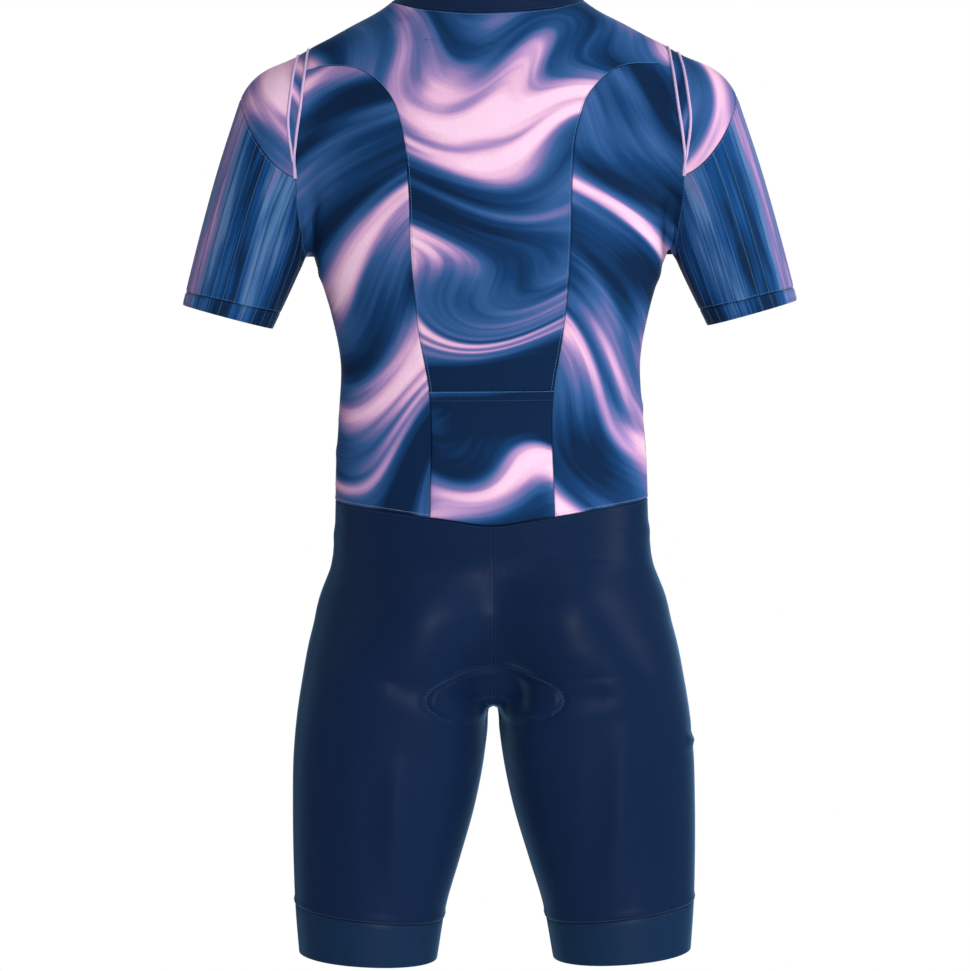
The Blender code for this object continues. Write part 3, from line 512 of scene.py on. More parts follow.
def outside(points):
    """How far points are outside the figure. It is negative inside."""
    near = np.array(points, float)
    near[:, 0] = np.abs(near[:, 0])
    far = near * (-1, 1, 1)
    z = near[:, 2]
    body = np.maximum(outside_rings(BODY_RINGS, near, False), BODY_BOTTOM - z)
    near_leg = np.maximum(outside_rings(LEG_RINGS, near, True), z - LEG_TOP)
    far_leg = np.maximum(outside_rings(LEG_RINGS, far, True), z - LEG_TOP)
    legs = soft_union(near_leg, far_leg, smooth_through(CROTCH_BLENDS, z)[0])
    trunk = soft_union(body, legs, HIP_BLEND)
    return soft_union(trunk, outside_arm(near), smooth_through(SHOULDER_BLENDS, z)[0])


def uphill(points):
    """The direction straight out of the figure at each point, and how fast the distance grows."""
    step = 0.0005
    moves = np.eye(3) * step
    slope = np.stack([outside(points + m) - outside(points - m) for m in moves], 1) / (2 * step)
    size = np.linalg.norm(slope, axis=1, keepdims=True)
    return slope / size, size[:, 0]


def settle(points, rounds=8):
    """Moves points straight in or out until they lie on the figure."""
    shape = np.shape(points)
    points = np.array(points, float).reshape(-1, 3)
    longest_move = 0.02
    for _ in range(rounds):
        way, growth = uphill(points)
        points -= way * np.clip(outside(points) / growth, -longest_move, longest_move)[:, None]
    return points.reshape(shape)


def exit_points(path, count, far=0.30):
    """Where each path, a function of how far along it one is, first leaves the figure."""
    looks, halvings = 40, 24
    low = np.zeros(count)
    high = np.zeros(count)
    for reach in np.linspace(0, far, looks)[1:]:
        waiting = high == 0
        out = outside(path(np.full(count, reach))) > 0
        high = np.where(waiting & out, reach, high)
        low = np.where(waiting & ~out, reach, low)
    for _ in range(halvings):
        middle = (low + high) / 2
        out = outside(path(middle)) > 0
        high = np.where(out, middle, high)
        low = np.where(out, low, middle)
    return path((low + high) / 2)


def from_inside(starts, ways):
    """Where straight lines from inside the figure leave it."""
    starts, ways = np.broadcast_arrays(np.asarray(starts, float), np.asarray(ways, float))
    return exit_points(lambda t: starts + ways * t[:, None], len(starts))


# ---------------------------------------------------------------- seams as curves on the figure

def at_level(turns, heights):
    """Points round the body, by turn in degrees and height."""
    angle = np.radians(turns)
    flat = np.zeros_like(angle)
    return from_inside(np.stack([flat, flat, heights], 1), np.stack([np.sin(angle), np.cos(angle), flat], 1))


def round_body(table, first, last, strips):
    """A seam round the body from one turn to another, its height read from a table of turns."""
    turns = np.linspace(first, last, strips + 1)
    return at_level(turns, smooth_through(table, np.abs(turns))[0])


def seen_from(back, across, heights):
    """Points on the back of the figure, or its front, at given distances out and heights."""
    flat = np.zeros_like(np.asarray(across, float))
    side = 1.0 if back else -1.0
    return from_inside(np.stack([across, flat, heights], 1), np.array((0, side, 0)))


def front_turn(height):
    """The turn at which a level ring comes to the edge of a front panel."""
    edge = seen_from(False, np.array([ZIP_HALF_WIDTH]), np.array([height]))[0]
    return math.degrees(math.atan2(edge[0], edge[1]))


def armhole(first, last, strips):
    """Part of the left armhole, by angles in degrees from under the arm."""
    angle = np.radians(np.linspace(first, last, strips + 1))
    y_middle, z_middle = ARMHOLE_MIDDLE

    def path(t):
        """The points at distances outwards from the armhole's middle."""
        y = y_middle + t * np.sin(angle)
        z = z_middle - t * np.cos(angle)
        return np.stack([smooth_through(ARMHOLE, z)[0], y, z], 1)

    return exit_points(path, len(angle), far=0.16)


def straight(first, last, strips):
    """The curve over the figure that looks straight between two of its points."""
    share = np.linspace(0, 1, strips + 1)[:, None]
    curve = settle(first * (1 - share) + last * share)
    curve[0], curve[-1] = first, last
    return curve


def back_seam(strips_below, strips_above):
    """The left curved back seam, from the waist to the armhole."""
    below = np.linspace(0, POCKET_SHARE, strips_below + 1)
    above = np.linspace(POCKET_SHARE, 1, strips_above + 1)[1:]
    across, heights = smooth_through(BACK_SEAM, np.concatenate([below, above]))
    curve = seen_from(True, across, heights)
    curve[-1] = armhole(BACK_SEAM_ANGLE, BACK_SEAM_ANGLE, 0)[0]
    return curve


def hoop(centre, tilt, angles):
    """A slanted hoop round a limb, by angles from its inner side by the back."""
    angle = np.radians(angles)[:, None]
    outward = np.array((math.cos(math.radians(tilt)), 0, math.sin(math.radians(tilt))))
    return from_inside(centre, np.array((0, 1, 0)) * np.sin(angle) - outward * np.cos(angle))


def joined(*curves):
    """Curves end to end, without the points they share."""
    return np.concatenate([curves[0]] + [curve[1:] for curve in curves[1:]])


def mirrored(points):
    """Points of the left side on the right side."""
    return points * (-1, 1, 1)


def make_seams():
    """Every shared curve of the left half, from the waist up."""
    steps = {stretch: strips * FINE for stretch, strips in STRIPS.items()}
    seams = {}
    stretches = ("armhole_under_back", "armhole_back", "armhole_top", "armhole_front", "armhole_under_front")
    ends = (0, CAP_BACK_ANGLE, BACK_SEAM_ANGLE, SHOULDER_SEAM_ANGLE, CAP_FRONT_ANGLE, 360)
    for stretch, first, last in zip(stretches, ends, ends[1:]):
        seams[stretch] = armhole(first, last, steps[stretch])
    seams["back_seam"] = back_seam(steps["pocket"], steps["back_seam"])
    waist_at_back_seam = seams["back_seam"][0]
    turn = math.degrees(math.atan2(waist_at_back_seam[0], waist_at_back_seam[1]))
    half_back = (steps["shoulder"] * 2 + steps["collar_back"]) // 2
    seams["waist_back"] = round_body(WAIST_SEAM, 0, turn, half_back)
    seams["waist_side"] = round_body(WAIST_SEAM, turn, SIDE_SEAM_TURN, steps["side_back"])
    front_strips = steps["shoulder"] + steps["collar_front"]
    waist_front = smooth_through(WAIST_SEAM, 180)[0, 0]
    seams["waist_front"] = round_body(WAIST_SEAM, SIDE_SEAM_TURN, front_turn(waist_front), front_strips)
    seams["back_seam"][0] = seams["waist_back"][-1]
    side_strips = steps["pocket"] + steps["back_seam"]
    seams["side_seam"] = straight(seams["waist_side"][-1], seams["armhole_under_back"][0], side_strips)
    seams["collar_back"] = round_body(COLLAR_SEAM, 0, NECK_POINT_TURN, steps["collar_back"] // 2)
    collar_front = smooth_through(COLLAR_SEAM, 180)[0, 0]
    seams["collar_front"] = round_body(
        COLLAR_SEAM, NECK_POINT_TURN, front_turn(collar_front), steps["collar_front"]
    )
    seams["shoulder"] = straight(seams["armhole_top"][-1], seams["collar_back"][-1], steps["shoulder"])
    front_strips = side_strips + steps["armhole_front"] + steps["armhole_under_front"]
    heights = np.linspace(seams["waist_front"][-1][2], seams["collar_front"][-1][2], front_strips + 1)
    seams["front_edge"] = seen_from(False, np.full(front_strips + 1, ZIP_HALF_WIDTH), heights)
    seams["front_edge"][0] = seams["waist_front"][-1]
    seams["front_edge"][-1] = seams["collar_front"][-1]
    return seams


# ---------------------------------------------------------------- fine grids of cloth

def finer(rows, times):
    """Rows of points with others set between them on smooth curves."""
    count = len(rows)
    table = np.column_stack([np.arange(count), rows.reshape(count, -1)])
    at = np.linspace(0, count - 1, (count - 1) * times + 1)
    return smooth_through(table, at).T.reshape(len(at), *rows.shape[1:])


def spanned(bottom, top, left, right):
    """The smooth sheet of points, or of moves, between four edges."""
    across = np.linspace(0, 1, len(bottom))[None, :, None]
    up = np.linspace(0, 1, len(left))[:, None, None]
    rows = bottom[None] * (1 - up) + top[None] * up
    columns = left[:, None] * (1 - across) + right[:, None] * across
    corners = (bottom[0] * (1 - across) + bottom[-1] * across) * (1 - up)
    corners = corners + (top[0] * (1 - across) + top[-1] * across) * up
    return rows + columns - corners


def edged(grid, bottom, top, left, right):
    """A grid with its four edges put exactly on four curves."""
    grid[0], grid[-1] = bottom, top
    grid[:, 0], grid[:, -1] = left, right
    return grid


def evened(bottom, top, left, right):
    """A coarse grid on the figure between four curves, its points evened out."""
    grid = edged(settle(spanned(bottom, top, left, right)), bottom, top, left, right)
    for _ in range(EVENING_ROUNDS):
        beside = grid[1:-1, :-2] + grid[1:-1, 2:]
        above = grid[:-2, 1:-1] + grid[2:, 1:-1]
        grid[1:-1, 1:-1] = settle((beside + above) / 4, 1)
    return grid


def filled(bottom, top, left, right):
    """A fine grid on the figure between four fine curves. Its rows run from bottom to top."""
    coarse = evened(bottom[::FINE], top[::FINE], left[::FINE], right[::FINE])
    grid = finer(coarse, FINE).swapaxes(0, 1)
    grid = finer(grid, FINE).swapaxes(0, 1)
    grid = grid + spanned(bottom - grid[0], top - grid[-1], left - grid[:, 0], right - grid[:, -1])
    return edged(settle(grid, 3), bottom, top, left, right)


def read_at(grid, places, axis):
    """A grid read at places between its rows, or its columns."""
    low = np.minimum(places.astype(int), grid.shape[axis] - 2)
    share = (places - low).reshape((-1, 1, 1) if axis == 0 else (1, -1, 1))
    return np.take(grid, low, axis) * (1 - share) + np.take(grid, low + 1, axis) * share


def even_places(count):
    """The places of all rows, with extra ones close to the two outermost."""
    near = np.array([0, *MARGINS])
    return np.concatenate([near, np.arange(1, count - 1), count - 1 - near[::-1]])


def rib_places(count):
    """Places round a sleeve that follow the profile of its ribs."""
    phases = [phase for phase, _ in RIB_PROFILE]
    shares = np.add.outer(np.arange(RIBS), phases).ravel() / RIBS
    near = MARGINS[0] / (count - 1)
    return np.concatenate([[0, near], shares[1:], [1 - near, 1]]) * (count - 1)


def reaches(grid):
    """How far each point is from the four borders of its grid, along the cloth."""
    across = np.linalg.norm(np.diff(grid, axis=1), axis=2)
    up = np.linalg.norm(np.diff(grid, axis=0), axis=2)
    left = np.pad(np.cumsum(across, 1), ((0, 0), (1, 0)))
    start = np.pad(np.cumsum(up, 0), ((1, 0), (0, 0)))
    return {"left": left, "right": left[:, -1:] - left, "start": start, "end": start[-1:] - start}


def eased(value):
    """0 below 0, 1 above 1, and smooth between."""
    value = np.clip(value, 0, 1)
    return value * value * (3 - 2 * value)


def ridge(distance, middle, half_width):
    """A rounded rise of 1 where a distance is that of its middle."""
    return np.exp(-((distance - middle) / half_width) ** 2)


# ---------------------------------------------------------------- folds

def near_line(points, line):
    """How far points are from a line of points, and what share of the way along it."""
    best = np.full(len(points), np.inf)
    share = np.zeros(len(points))
    for i, (start, end) in enumerate(zip(line[:-1], line[1:])):
        run = end - start
        along = np.clip((points - start) @ run / (run @ run), 0, 1)
        distance = np.linalg.norm(points - start - along[:, None] * run, axis=1)
        closer = distance < best
        best = np.where(closer, distance, best)
        share = np.where(closer, (i + along) / (len(line) - 1), share)
    return best, share


def fold_lines():
    """Each fold as a line on the figure, with its half width, rise and how it fades."""
    steps = np.linspace(0, 1, FOLD_POINTS)
    lines = []
    for back, from_out, from_height, to_out, to_height, half_width, rise, fades in FOLDS:
        across = from_out + (to_out - from_out) * steps
        heights = from_height + (to_height - from_height) * steps
        lines.append((seen_from(back, across, heights), half_width, rise, fades))
    return lines


FOLD_LINES = fold_lines()


def folded(points):
    """How far the folds lift the cloth at each point."""
    shape = points.shape[:-1]
    points = points.reshape(-1, 3)
    lift = np.zeros(len(points))
    for line, half_width, rise, fades in FOLD_LINES:
        room = 4 * half_width
        inside = np.all((points > line.min(0) - room) & (points < line.max(0) + room), 1)
        if not inside.any():
            continue
        distance, share = near_line(points[inside], line)
        dips = TROUGH * ridge(distance, 2 * half_width, half_width)
        along = 1 - share if fades == "far" else np.sin(math.pi * share)
        lift[inside] += rise * (ridge(distance, 0, half_width) - dips) * along ** FADES[fades]
    return lift.reshape(shape)


# ---------------------------------------------------------------- pieces of cloth as shells

# A piece's grid: its points, their distances from its borders, and their share of the way round
Layout = collections.namedtuple("Layout", "points reach around")

# What shows of each piece: its points, the ways out of them, and their distances from its borders
Face = collections.namedtuple("Face", "points ways reach")
FACES = {}


def roll(distance, form):
    """The rise of a roll along a border, or of a dip, by one of the rows above."""
    rise, middle, half_width = form
    return rise * ridge(distance, middle, half_width)


def hem(distance, form):
    """The rise of a flat hem along a border, by one of the rows above."""
    rise, width, step = form
    return rise * (1 - eased((distance - width) / step))


def sunk_borders(reach, edges, thickness):
    """How far the outer and inner faces drop towards the borders, which are sewn or free."""
    groove = np.zeros_like(reach["left"])
    rounding = np.zeros_like(groove)
    for border, kind in edges.items():
        if kind in GROOVES:
            groove = np.maximum(groove, GROOVES[kind] * (1 - eased(reach[border] / GROOVE_WIDTH)))
        else:
            near = np.clip(1 - reach[border] / (thickness / 2), 0, 1)
            rounding = np.maximum(rounding, thickness / 2 * (1 - np.sqrt(1 - near ** 2)))
    return groove, rounding


def placed(name, data):
    """A mesh, a lamp or the camera as an object in the scene."""
    item = bpy.data.objects.new(name, data)
    bpy.context.collection.objects.link(item)
    return item


def attached(item, slot):
    """Gives a finished piece its body. Its slot is not used."""
    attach(item, "suit")
    return item


def kind_of(piece):
    """A piece's name without its side."""
    return piece.removesuffix("_left").removesuffix("_right")


def weld_tips(mesh, borders, count):
    """Joins the points of each pointed end of a shell, on its outer face and on its inner one."""
    bm = bmesh.new()
    bm.from_mesh(mesh)
    bm.verts.ensure_lookup_table()
    tips = [bm.verts[int(i) + k] for i in borders for k in (0, count)]
    bmesh.ops.remove_doubles(bm, verts=tips, dist=WELD_REACH)
    bm.to_mesh(mesh)
    bm.free()


def shell(name, outer, inner, uv, marks, finishes, welded=False):
    """A closed mesh between an outer and an inner grid of points."""
    rows, columns = outer.shape[:2]
    count = rows * columns
    index = np.arange(count).reshape(rows, columns)
    top = np.stack([index[:-1, :-1], index[:-1, 1:], index[1:, 1:], index[1:, :-1]], -1).reshape(-1, 4)
    border = np.concatenate([index[0], index[1:, -1], index[-1, -2::-1], index[-2:0:-1, 0]])
    after = np.roll(border, -1)
    rim = np.stack([after, border, border + count, after + count], 1)
    faces = np.concatenate([top, top[:, ::-1] + count, rim])
    r, c = rows // 2, columns // 2
    turned = np.cross(outer[r, c + 1] - outer[r, c], outer[r + 1, c] - outer[r, c])
    if turned @ (outer[r, c] - inner[r, c]) < 0:
        faces = faces[:, ::-1]
    mesh = bpy.data.meshes.new(name)
    mesh.from_pydata(np.concatenate([outer.reshape(-1, 3), inner.reshape(-1, 3)]), [], faces.tolist())
    place = np.zeros(len(mesh.loops), int)
    mesh.loops.foreach_get("vertex_index", place)
    mesh.uv_layers.new(name="cloth").data.foreach_set("uv", np.tile(uv.reshape(-1, 2), (2, 1))[place].ravel())
    for mark, values in marks.items():
        mesh.attributes.new(mark, "FLOAT", "POINT").data.foreach_set("value", np.tile(values.ravel(), 2))
    for finish in finishes:
        mesh.materials.append(finish)
    inside = np.zeros(len(faces), int)
    inside[len(top):2 * len(top)] = 1
    mesh.polygons.foreach_set("material_index", inside)
    if welded:
        weld_tips(mesh, [*index[:, 0], *index[:, -1]], count)
    mesh.shade_smooth()
    mesh.set_sharp_from_angle(angle=CLOTH_SHARP_FROM)
    return placed(name, mesh)


def cloth(
    piece, grid, finishes, edges, relief=None, places=None, marks=None,
    thickness=CLOTH, lift=0.0, welded=False,
):
    """The piece of cloth that stands for a solid, on a fine grid over the figure."""
    columns = even_places(grid.shape[1]) if places is None else places
    grid = read_at(read_at(grid, even_places(grid.shape[0]), 0), columns, 1)
    ways = uphill(grid.reshape(-1, 3))[0].reshape(grid.shape)
    reach = reaches(grid)
    around = np.broadcast_to(columns / columns[-1], grid.shape[:2])
    base = grid + ways * (lift + folded(grid))[..., None]
    rise = relief(Layout(grid, reach, around)) if relief else 0
    groove, rounding = sunk_borders(reach, edges, thickness)
    outer = base + ways * (rise - groove - rounding)[..., None]
    inner = base + ways * (rounding - thickness)[..., None]
    shade = [reach[border] + SHADE_SHIFT[kind] for border, kind in edges.items() if kind in GROOVES]
    values = {"edge": np.minimum.reduce(shade), "around": around}
    for mark, worked_out in (marks or {}).items():
        values[mark] = worked_out(reach)
    uv = np.stack([reach["left"], reach["start"]], -1)
    item = shell("cloth_" + piece, outer, inner, uv, values, finishes, welded)
    FACES[piece] = Face(outer, ways, reach)
    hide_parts(piece)
    return attached(item, SLOTS[kind_of(piece)])


# ---------------------------------------------------------------- threads and piping

# The faces of a bar. Its corners are its first point, three at each shoulder, and its last point.
BAR_FACES = [
    (0, 2, 1), (0, 3, 2), (0, 1, 3),
    (1, 2, 5, 4), (2, 3, 6, 5), (3, 1, 4, 6),
    (7, 4, 5), (7, 5, 6), (7, 6, 4),
]


def bars(centres, along, out, length, width, height):
    """The corners of small closed bars with a ridge on top, pointed at both ends."""
    side = np.cross(out, along) * width / 2
    ring = np.stack([side, out * height, -side], 1)
    ends = (along * length / 2)[:, None]
    shoulders = ends * BAR_SHOULDER
    body = centres[:, None]
    return np.concatenate([body - ends, body - shoulders + ring, body + shoulders + ring, body + ends], 1)


def smooth_mesh(name, points, faces, finish):
    """A smooth mesh with one finish."""
    mesh = bpy.data.meshes.new(name)
    mesh.from_pydata(points, [], faces)
    mesh.shade_smooth()
    mesh.materials.append(finish)
    return mesh


def merged(name, corners, finish, slot):
    """Many bars as one piece. The corners of each bar are a row."""
    forms, each = corners.shape[:2]
    faces = [[i * each + k for k in face] for i in range(forms) for face in BAR_FACES]
    mesh = smooth_mesh(name, corners.reshape(-1, 3), faces, finish)
    return attached(placed(name, mesh), slot)


def line_beside(piece, border, distance):
    """The line on a piece's face at a distance from one of its borders, and the ways out of it."""
    face = FACES[piece]
    points, ways, reach = face.points, face.ways, face.reach[border]
    if border in ("left", "right"):
        points, ways, reach = points.swapaxes(0, 1), ways.swapaxes(0, 1), reach.T
    if border in ("end", "right"):
        points, ways, reach = points[::-1], ways[::-1], reach[::-1]
    distance = np.broadcast_to(distance, points.shape[1])
    both = np.concatenate([points, ways], 2)
    line = np.concatenate([
        interpolated([distance[c]], reach[:, c], both[:, c]) for c in range(points.shape[1])
    ])
    return line[:, :3], line[:, 3:]


def interpolated(places, at, rows):
    """The columns of rows that are at given places, read at others on straight lines."""
    return np.stack([np.interp(places, at, column) for column in rows.T], 1)


def evenly(line, ways, spacing):
    """Points at even spacing along a line, with the ways along it and out of it."""
    steps = np.linalg.norm(np.diff(line, axis=0), axis=1)
    at = np.concatenate([[0], np.cumsum(steps)])
    places = np.arange(spacing / 2, at[-1], spacing)
    ahead = interpolated(places + spacing / 4, at, line)
    behind = interpolated(places - spacing / 4, at, line)
    return interpolated(places, at, line), unit(ahead - behind), unit(interpolated(places, at, ways))


def stitches(line, ways, spacing, length, slant):
    """A row of stitches on a line, straight or slanted to alternate sides by some degrees."""
    centres, along, out = evenly(line, ways, spacing)
    turn = np.radians(slant) * (-1) ** np.arange(len(centres))[:, None]
    along = along * np.cos(turn) + np.cross(out, along) * np.sin(turn)
    return bars(centres, along, out, length, THREAD_WIDTH, THREAD_HEIGHT)


def cord_rings(line, ways):
    """The rings of a round cord along a line, a little more than half of it above the cloth."""
    side = np.cross(ways, unit(np.gradient(line, axis=0)))
    angles = np.arange(PIPING_SIDES) * 2 * math.pi / PIPING_SIDES
    return np.stack([
        line + (side * math.cos(a) + ways * (math.sin(a) + PIPING_RISE)) * PIPING_RADIUS for a in angles
    ], 1)


def piping(name, lines, finish, slot):
    """Round cords along several lines as one piece, closed at their ends."""
    points, faces = [], []
    for line, ways in lines:
        rings = cord_rings(line, ways)
        rows, round_it = rings.shape[:2]
        first = len(points)
        points += rings.reshape(-1, 3).tolist()
        for r in range(rows - 1):
            for s in range(round_it):
                a = first + r * round_it + s
                b = first + r * round_it + (s + 1) % round_it
                faces.append((a, b, b + round_it, a + round_it))
        faces.append([first + s for s in reversed(range(round_it))])
        faces.append([first + (rows - 1) * round_it + s for s in range(round_it)])
    mesh = smooth_mesh(name, points, faces, finish)
    mesh.set_sharp_from_angle(angle=CORD_SHARP_FROM)
    return attached(placed(name, mesh), slot)


# ---------------------------------------------------------------- the suit's pieces

def left_and_right(piece, grid, finishes, edges, **how):
    """A left piece, and its mirror image on the right with its own finish."""
    for side, shape in zip(SIDES, (grid, mirrored(grid))):
        cloth(f"{piece}_{side}", shape, finishes[side], edges, **how)


def both_sides(half):
    """A curve that starts on the centre line, with its mirror image before it."""
    return joined(mirrored(half)[::-1], half)


def top_relief(at):
    """The printed cloth stands proud in a thin roll where it meets the shorts."""
    return roll(at.reach["start"], WAIST_ROLL)


def pocket_relief(at):
    """The pocket has a hem along its mouth, and dips a little below it."""
    mouth = at.reach["end"]
    return top_relief(at) + hem(mouth, POCKET_HEM) + roll(mouth, POCKET_DIP)


def make_back(seams, finishes):
    """The centre back with the yoke, and the pocket that lies on its lower part."""
    left = seams["back_seam"]
    upper_side = joined(left, seams["armhole_top"])
    split = STRIPS["pocket"] * FINE
    waist = both_sides(seams["waist_back"])
    across = np.linspace(-1, 1, len(waist)) * left[split][0]
    mouth = seen_from(True, across, np.full(len(waist), left[split][2]))
    mouth[0], mouth[-1] = mirrored(left[split]), left[split]
    top_half = joined(seams["collar_back"], seams["shoulder"][::-1])
    lower = filled(waist, mouth, mirrored(left[: split + 1]), left[: split + 1])
    upper = filled(mouth, both_sides(top_half), mirrored(upper_side[split:]), upper_side[split:])
    grid = np.concatenate([lower, upper[1:]])
    cloth("back_centre", grid, finishes["back_centre"], ALL_SEWN, relief=top_relief)
    cloth(
        "back_pocket", lower, finishes["back_pocket"], dict(ALL_SEWN, end="free"),
        relief=pocket_relief, thickness=POCKET_CLOTH, lift=POCKET_CLEAR + POCKET_CLOTH,
    )


def make_side_backs(seams, finishes):
    """The side backs, from the curved back seam to the side seam."""
    top = joined(seams["armhole_under_back"], seams["armhole_back"])[::-1]
    grid = filled(seams["waist_side"], top, seams["back_seam"], seams["side_seam"])
    left_and_right("back_side", grid, finishes["back_side"], ALL_SEWN, relief=top_relief)


def make_fronts(seams, finishes):
    """The fronts, from the side seam to the edge of the zip."""
    armhole_side = joined(seams["armhole_front"], seams["armhole_under_front"])[::-1]
    side = joined(seams["side_seam"], armhole_side)
    top = joined(seams["shoulder"], seams["collar_front"])
    grid = filled(seams["waist_front"], top, side, seams["front_edge"])
    edges = dict(ALL_SEWN, right="free")
    left_and_right("front", grid, finishes["front"], edges, relief=top_relief)


def collar_relief(at):
    """The collar has a hem along its top."""
    return hem(at.reach["end"], COLLAR_HEM)


def make_collar(seams, finishes):
    """The stand collar, from one edge of the zip round the neck to the other, and its left end."""
    base = both_sides(joined(seams["collar_back"], seams["collar_front"]))
    turns = np.degrees(np.arctan2(base[:, 0], base[:, 1]))
    top_front = smooth_through(COLLAR_TOP, 180)[0, 0]
    turns[-1] = front_turn(top_front)
    turns[0] = -turns[-1]
    top = at_level(turns, smooth_through(COLLAR_TOP, np.abs(turns))[0])
    rise = STRIPS["collar_rise"] * FINE
    heights = np.linspace(base[-1][2], top[-1][2], rise + 1)
    end = seen_from(False, np.full(rise + 1, ZIP_HALF_WIDTH), heights)
    end[0], end[-1] = base[-1], top[-1]
    grid = filled(base, top, mirrored(end), end)
    edges = {"start": "sewn", "end": "free"}
    cloth("collar", grid, finishes["collar"], edges, relief=collar_relief)
    return end


def cap_edge(seams):
    """The lower edge of the left sleeve cap, from the back of the armhole over to its front."""
    axis = (WRISTWARD - SHOULDER) / np.linalg.norm(WRISTWARD - SHOULDER)
    outward = np.cross((0, 1, 0), axis)
    outward *= np.sign(outward[0]) / np.linalg.norm(outward)
    backward = np.cross(axis, outward)
    backward *= np.sign(backward[1])
    ends = np.array([seams["armhole_back"][0], seams["armhole_front"][-1]]) - SHOULDER
    turns = np.arctan2(ends @ backward, ends @ outward)
    strips = STRIPS["armhole_back"] + STRIPS["armhole_top"] + STRIPS["armhole_front"]
    angle = np.linspace(turns[0], turns[1], strips * FINE + 1)
    share = np.clip(angle / np.where(angle > 0, turns[0], turns[1]), 0, 1)
    end_along = np.where(angle > 0, ends[0] @ axis, ends[1] @ axis)
    along = CAP_TOP_ALONG + (end_along - CAP_TOP_ALONG) * eased(share)
    ways = np.cos(angle)[:, None] * outward + np.sin(angle)[:, None] * backward
    edge = from_inside(SHOULDER + along[:, None] * axis, ways)
    edge[0], edge[-1] = seams["armhole_back"][0], seams["armhole_front"][-1]
    return edge


def arm_centre(height):
    """The middle of the left arm where it passes a height."""
    share = (height - SHOULDER[2]) / (WRISTWARD[2] - SHOULDER[2])
    return SHOULDER + (WRISTWARD - SHOULDER) * share


def strip_width(reach):
    """The width of the strip along the armhole, which narrows to both ends of the cap."""
    from_tip = np.minimum(reach["left"][0], reach["right"][0])
    whole = (reach["start"] + reach["end"])[0]
    return np.minimum(STRIP_WIDTH * eased(from_tip / STRIP_TAPER), whole * 0.5)


def strip_mark(reach):
    """1 on the strip along the armhole, and 0 on the rest of the cap."""
    return np.clip(0.5 + (strip_width(reach) - reach["start"]) / STRIP_EDGE, 0, 1)


def rib_relief(at):
    """The rise of the sleeve's ribs, which flatten towards the seams."""
    phases, rises = zip(*RIB_PROFILE)
    height = np.interp(at.around * RIBS % 1, [*phases, 1.0], [*rises, rises[0]])
    clear = np.minimum.reduce(list(at.reach.values()))
    return RIB_RISE * height * eased((clear - RIB_START) / RIB_FADE)


def make_sleeves(seams, finishes):
    """The smooth cap over each shoulder, and under it the ribbed sleeve and its cuff."""
    over = joined(seams["armhole_back"], seams["armhole_top"], seams["armhole_front"])
    edge = cap_edge(seams)
    across = STRIPS["cap"] * FINE + 1
    cap = filled(over, edge, np.repeat(over[:1], across, 0), np.repeat(over[-1:], across, 0))
    edges = {"start": "sewn", "end": "sewn"}
    how = {"marks": {"strip": strip_mark}, "welded": True}
    left_and_right("sleeve_cap", cap, finishes["sleeve_cap"], edges, **how)

    top = joined(seams["armhole_under_back"], edge, seams["armhole_under_front"])
    angles = np.linspace(0, 360, len(top))
    seam = hoop(arm_centre(CUFF_SEAM[0]), CUFF_SEAM[1], angles)
    end = hoop(arm_centre(CUFF_HEM[0]), CUFF_HEM[1], angles)
    how = {"relief": rib_relief, "places": rib_places(len(top))}
    under = straight(seam[0], top[0], STRIPS["sleeve"] * FINE)
    left_and_right("sleeve", filled(seam, top, under, under), finishes["sleeve"], ALL_SEWN, **how)
    under = straight(end[0], seam[0], STRIPS["cuff"] * FINE)
    edges = dict(ALL_SEWN, start="free")
    left_and_right("cuff", filled(end, seam, under, under), finishes["cuff"], edges, **how)


def crotch_curve(angles):
    """The centre seam of the shorts, by angles in degrees from straight back by straight down."""
    angle = np.radians(angles)
    flat = np.zeros_like(angle)
    return from_inside((0, 0, SEAT_MIDDLE), np.stack([flat, np.cos(angle), -np.sin(angle)], 1))


def crotch_angle(point):
    """The angle of a point of the centre seam, from -90 at the back to 270 at the front."""
    angle = math.degrees(math.atan2(SEAT_MIDDLE - point[2], point[1]))
    return angle + 360 if angle < -90 else angle


def leg_centre(height):
    """The middle of the left leg at a height."""
    centre, _, middle = smooth_through(LEG_RINGS, height)[:3, 0]
    return np.array((centre, middle, height))


def leg_top(crotch, angles):
    """The hoop round the left leg at the height of the crotch, which it touches at its inner side."""
    centre = leg_centre(crotch[2])
    points = hoop(centre, 0, angles)
    crossed = points[:, 0] < 0
    deep = centre[1] + centre[0] * np.tan(np.radians(angles[crossed]))
    beside = np.full_like(deep, CROTCH_HALF_WIDTH)
    points[crossed] = settle(np.stack([beside, deep, np.full_like(deep, crotch[2])], 1))
    points[0] = points[-1] = crotch
    return points


def pad_grid():
    """The seat pad's place on the figure, worked outwards from the centre seam in even steps."""
    rows, steps = STRIPS["pad_length"] * PAD_FINE, STRIPS["pad_half_width"] * PAD_FINE
    first, last = PAD_OUTLINE[0][0], PAD_OUTLINE[-1][0]
    angles = first + (last - first) * (1 - np.cos(np.linspace(0, math.pi, rows + 1))) / 2
    widths = smooth_through(PAD_OUTLINE, angles)[0]
    column = crotch_curve(angles)
    columns = [column]
    way = np.tile((1.0, 0.0, 0.0), (rows + 1, 1))
    for _ in range(steps):
        beside = settle(column + way * (widths / steps)[:, None])
        way = unit(beside - column)
        column = beside
        columns.append(column)
    half = np.stack(columns, 1)
    return np.concatenate([mirrored(half[:, :0:-1]), half], 1)


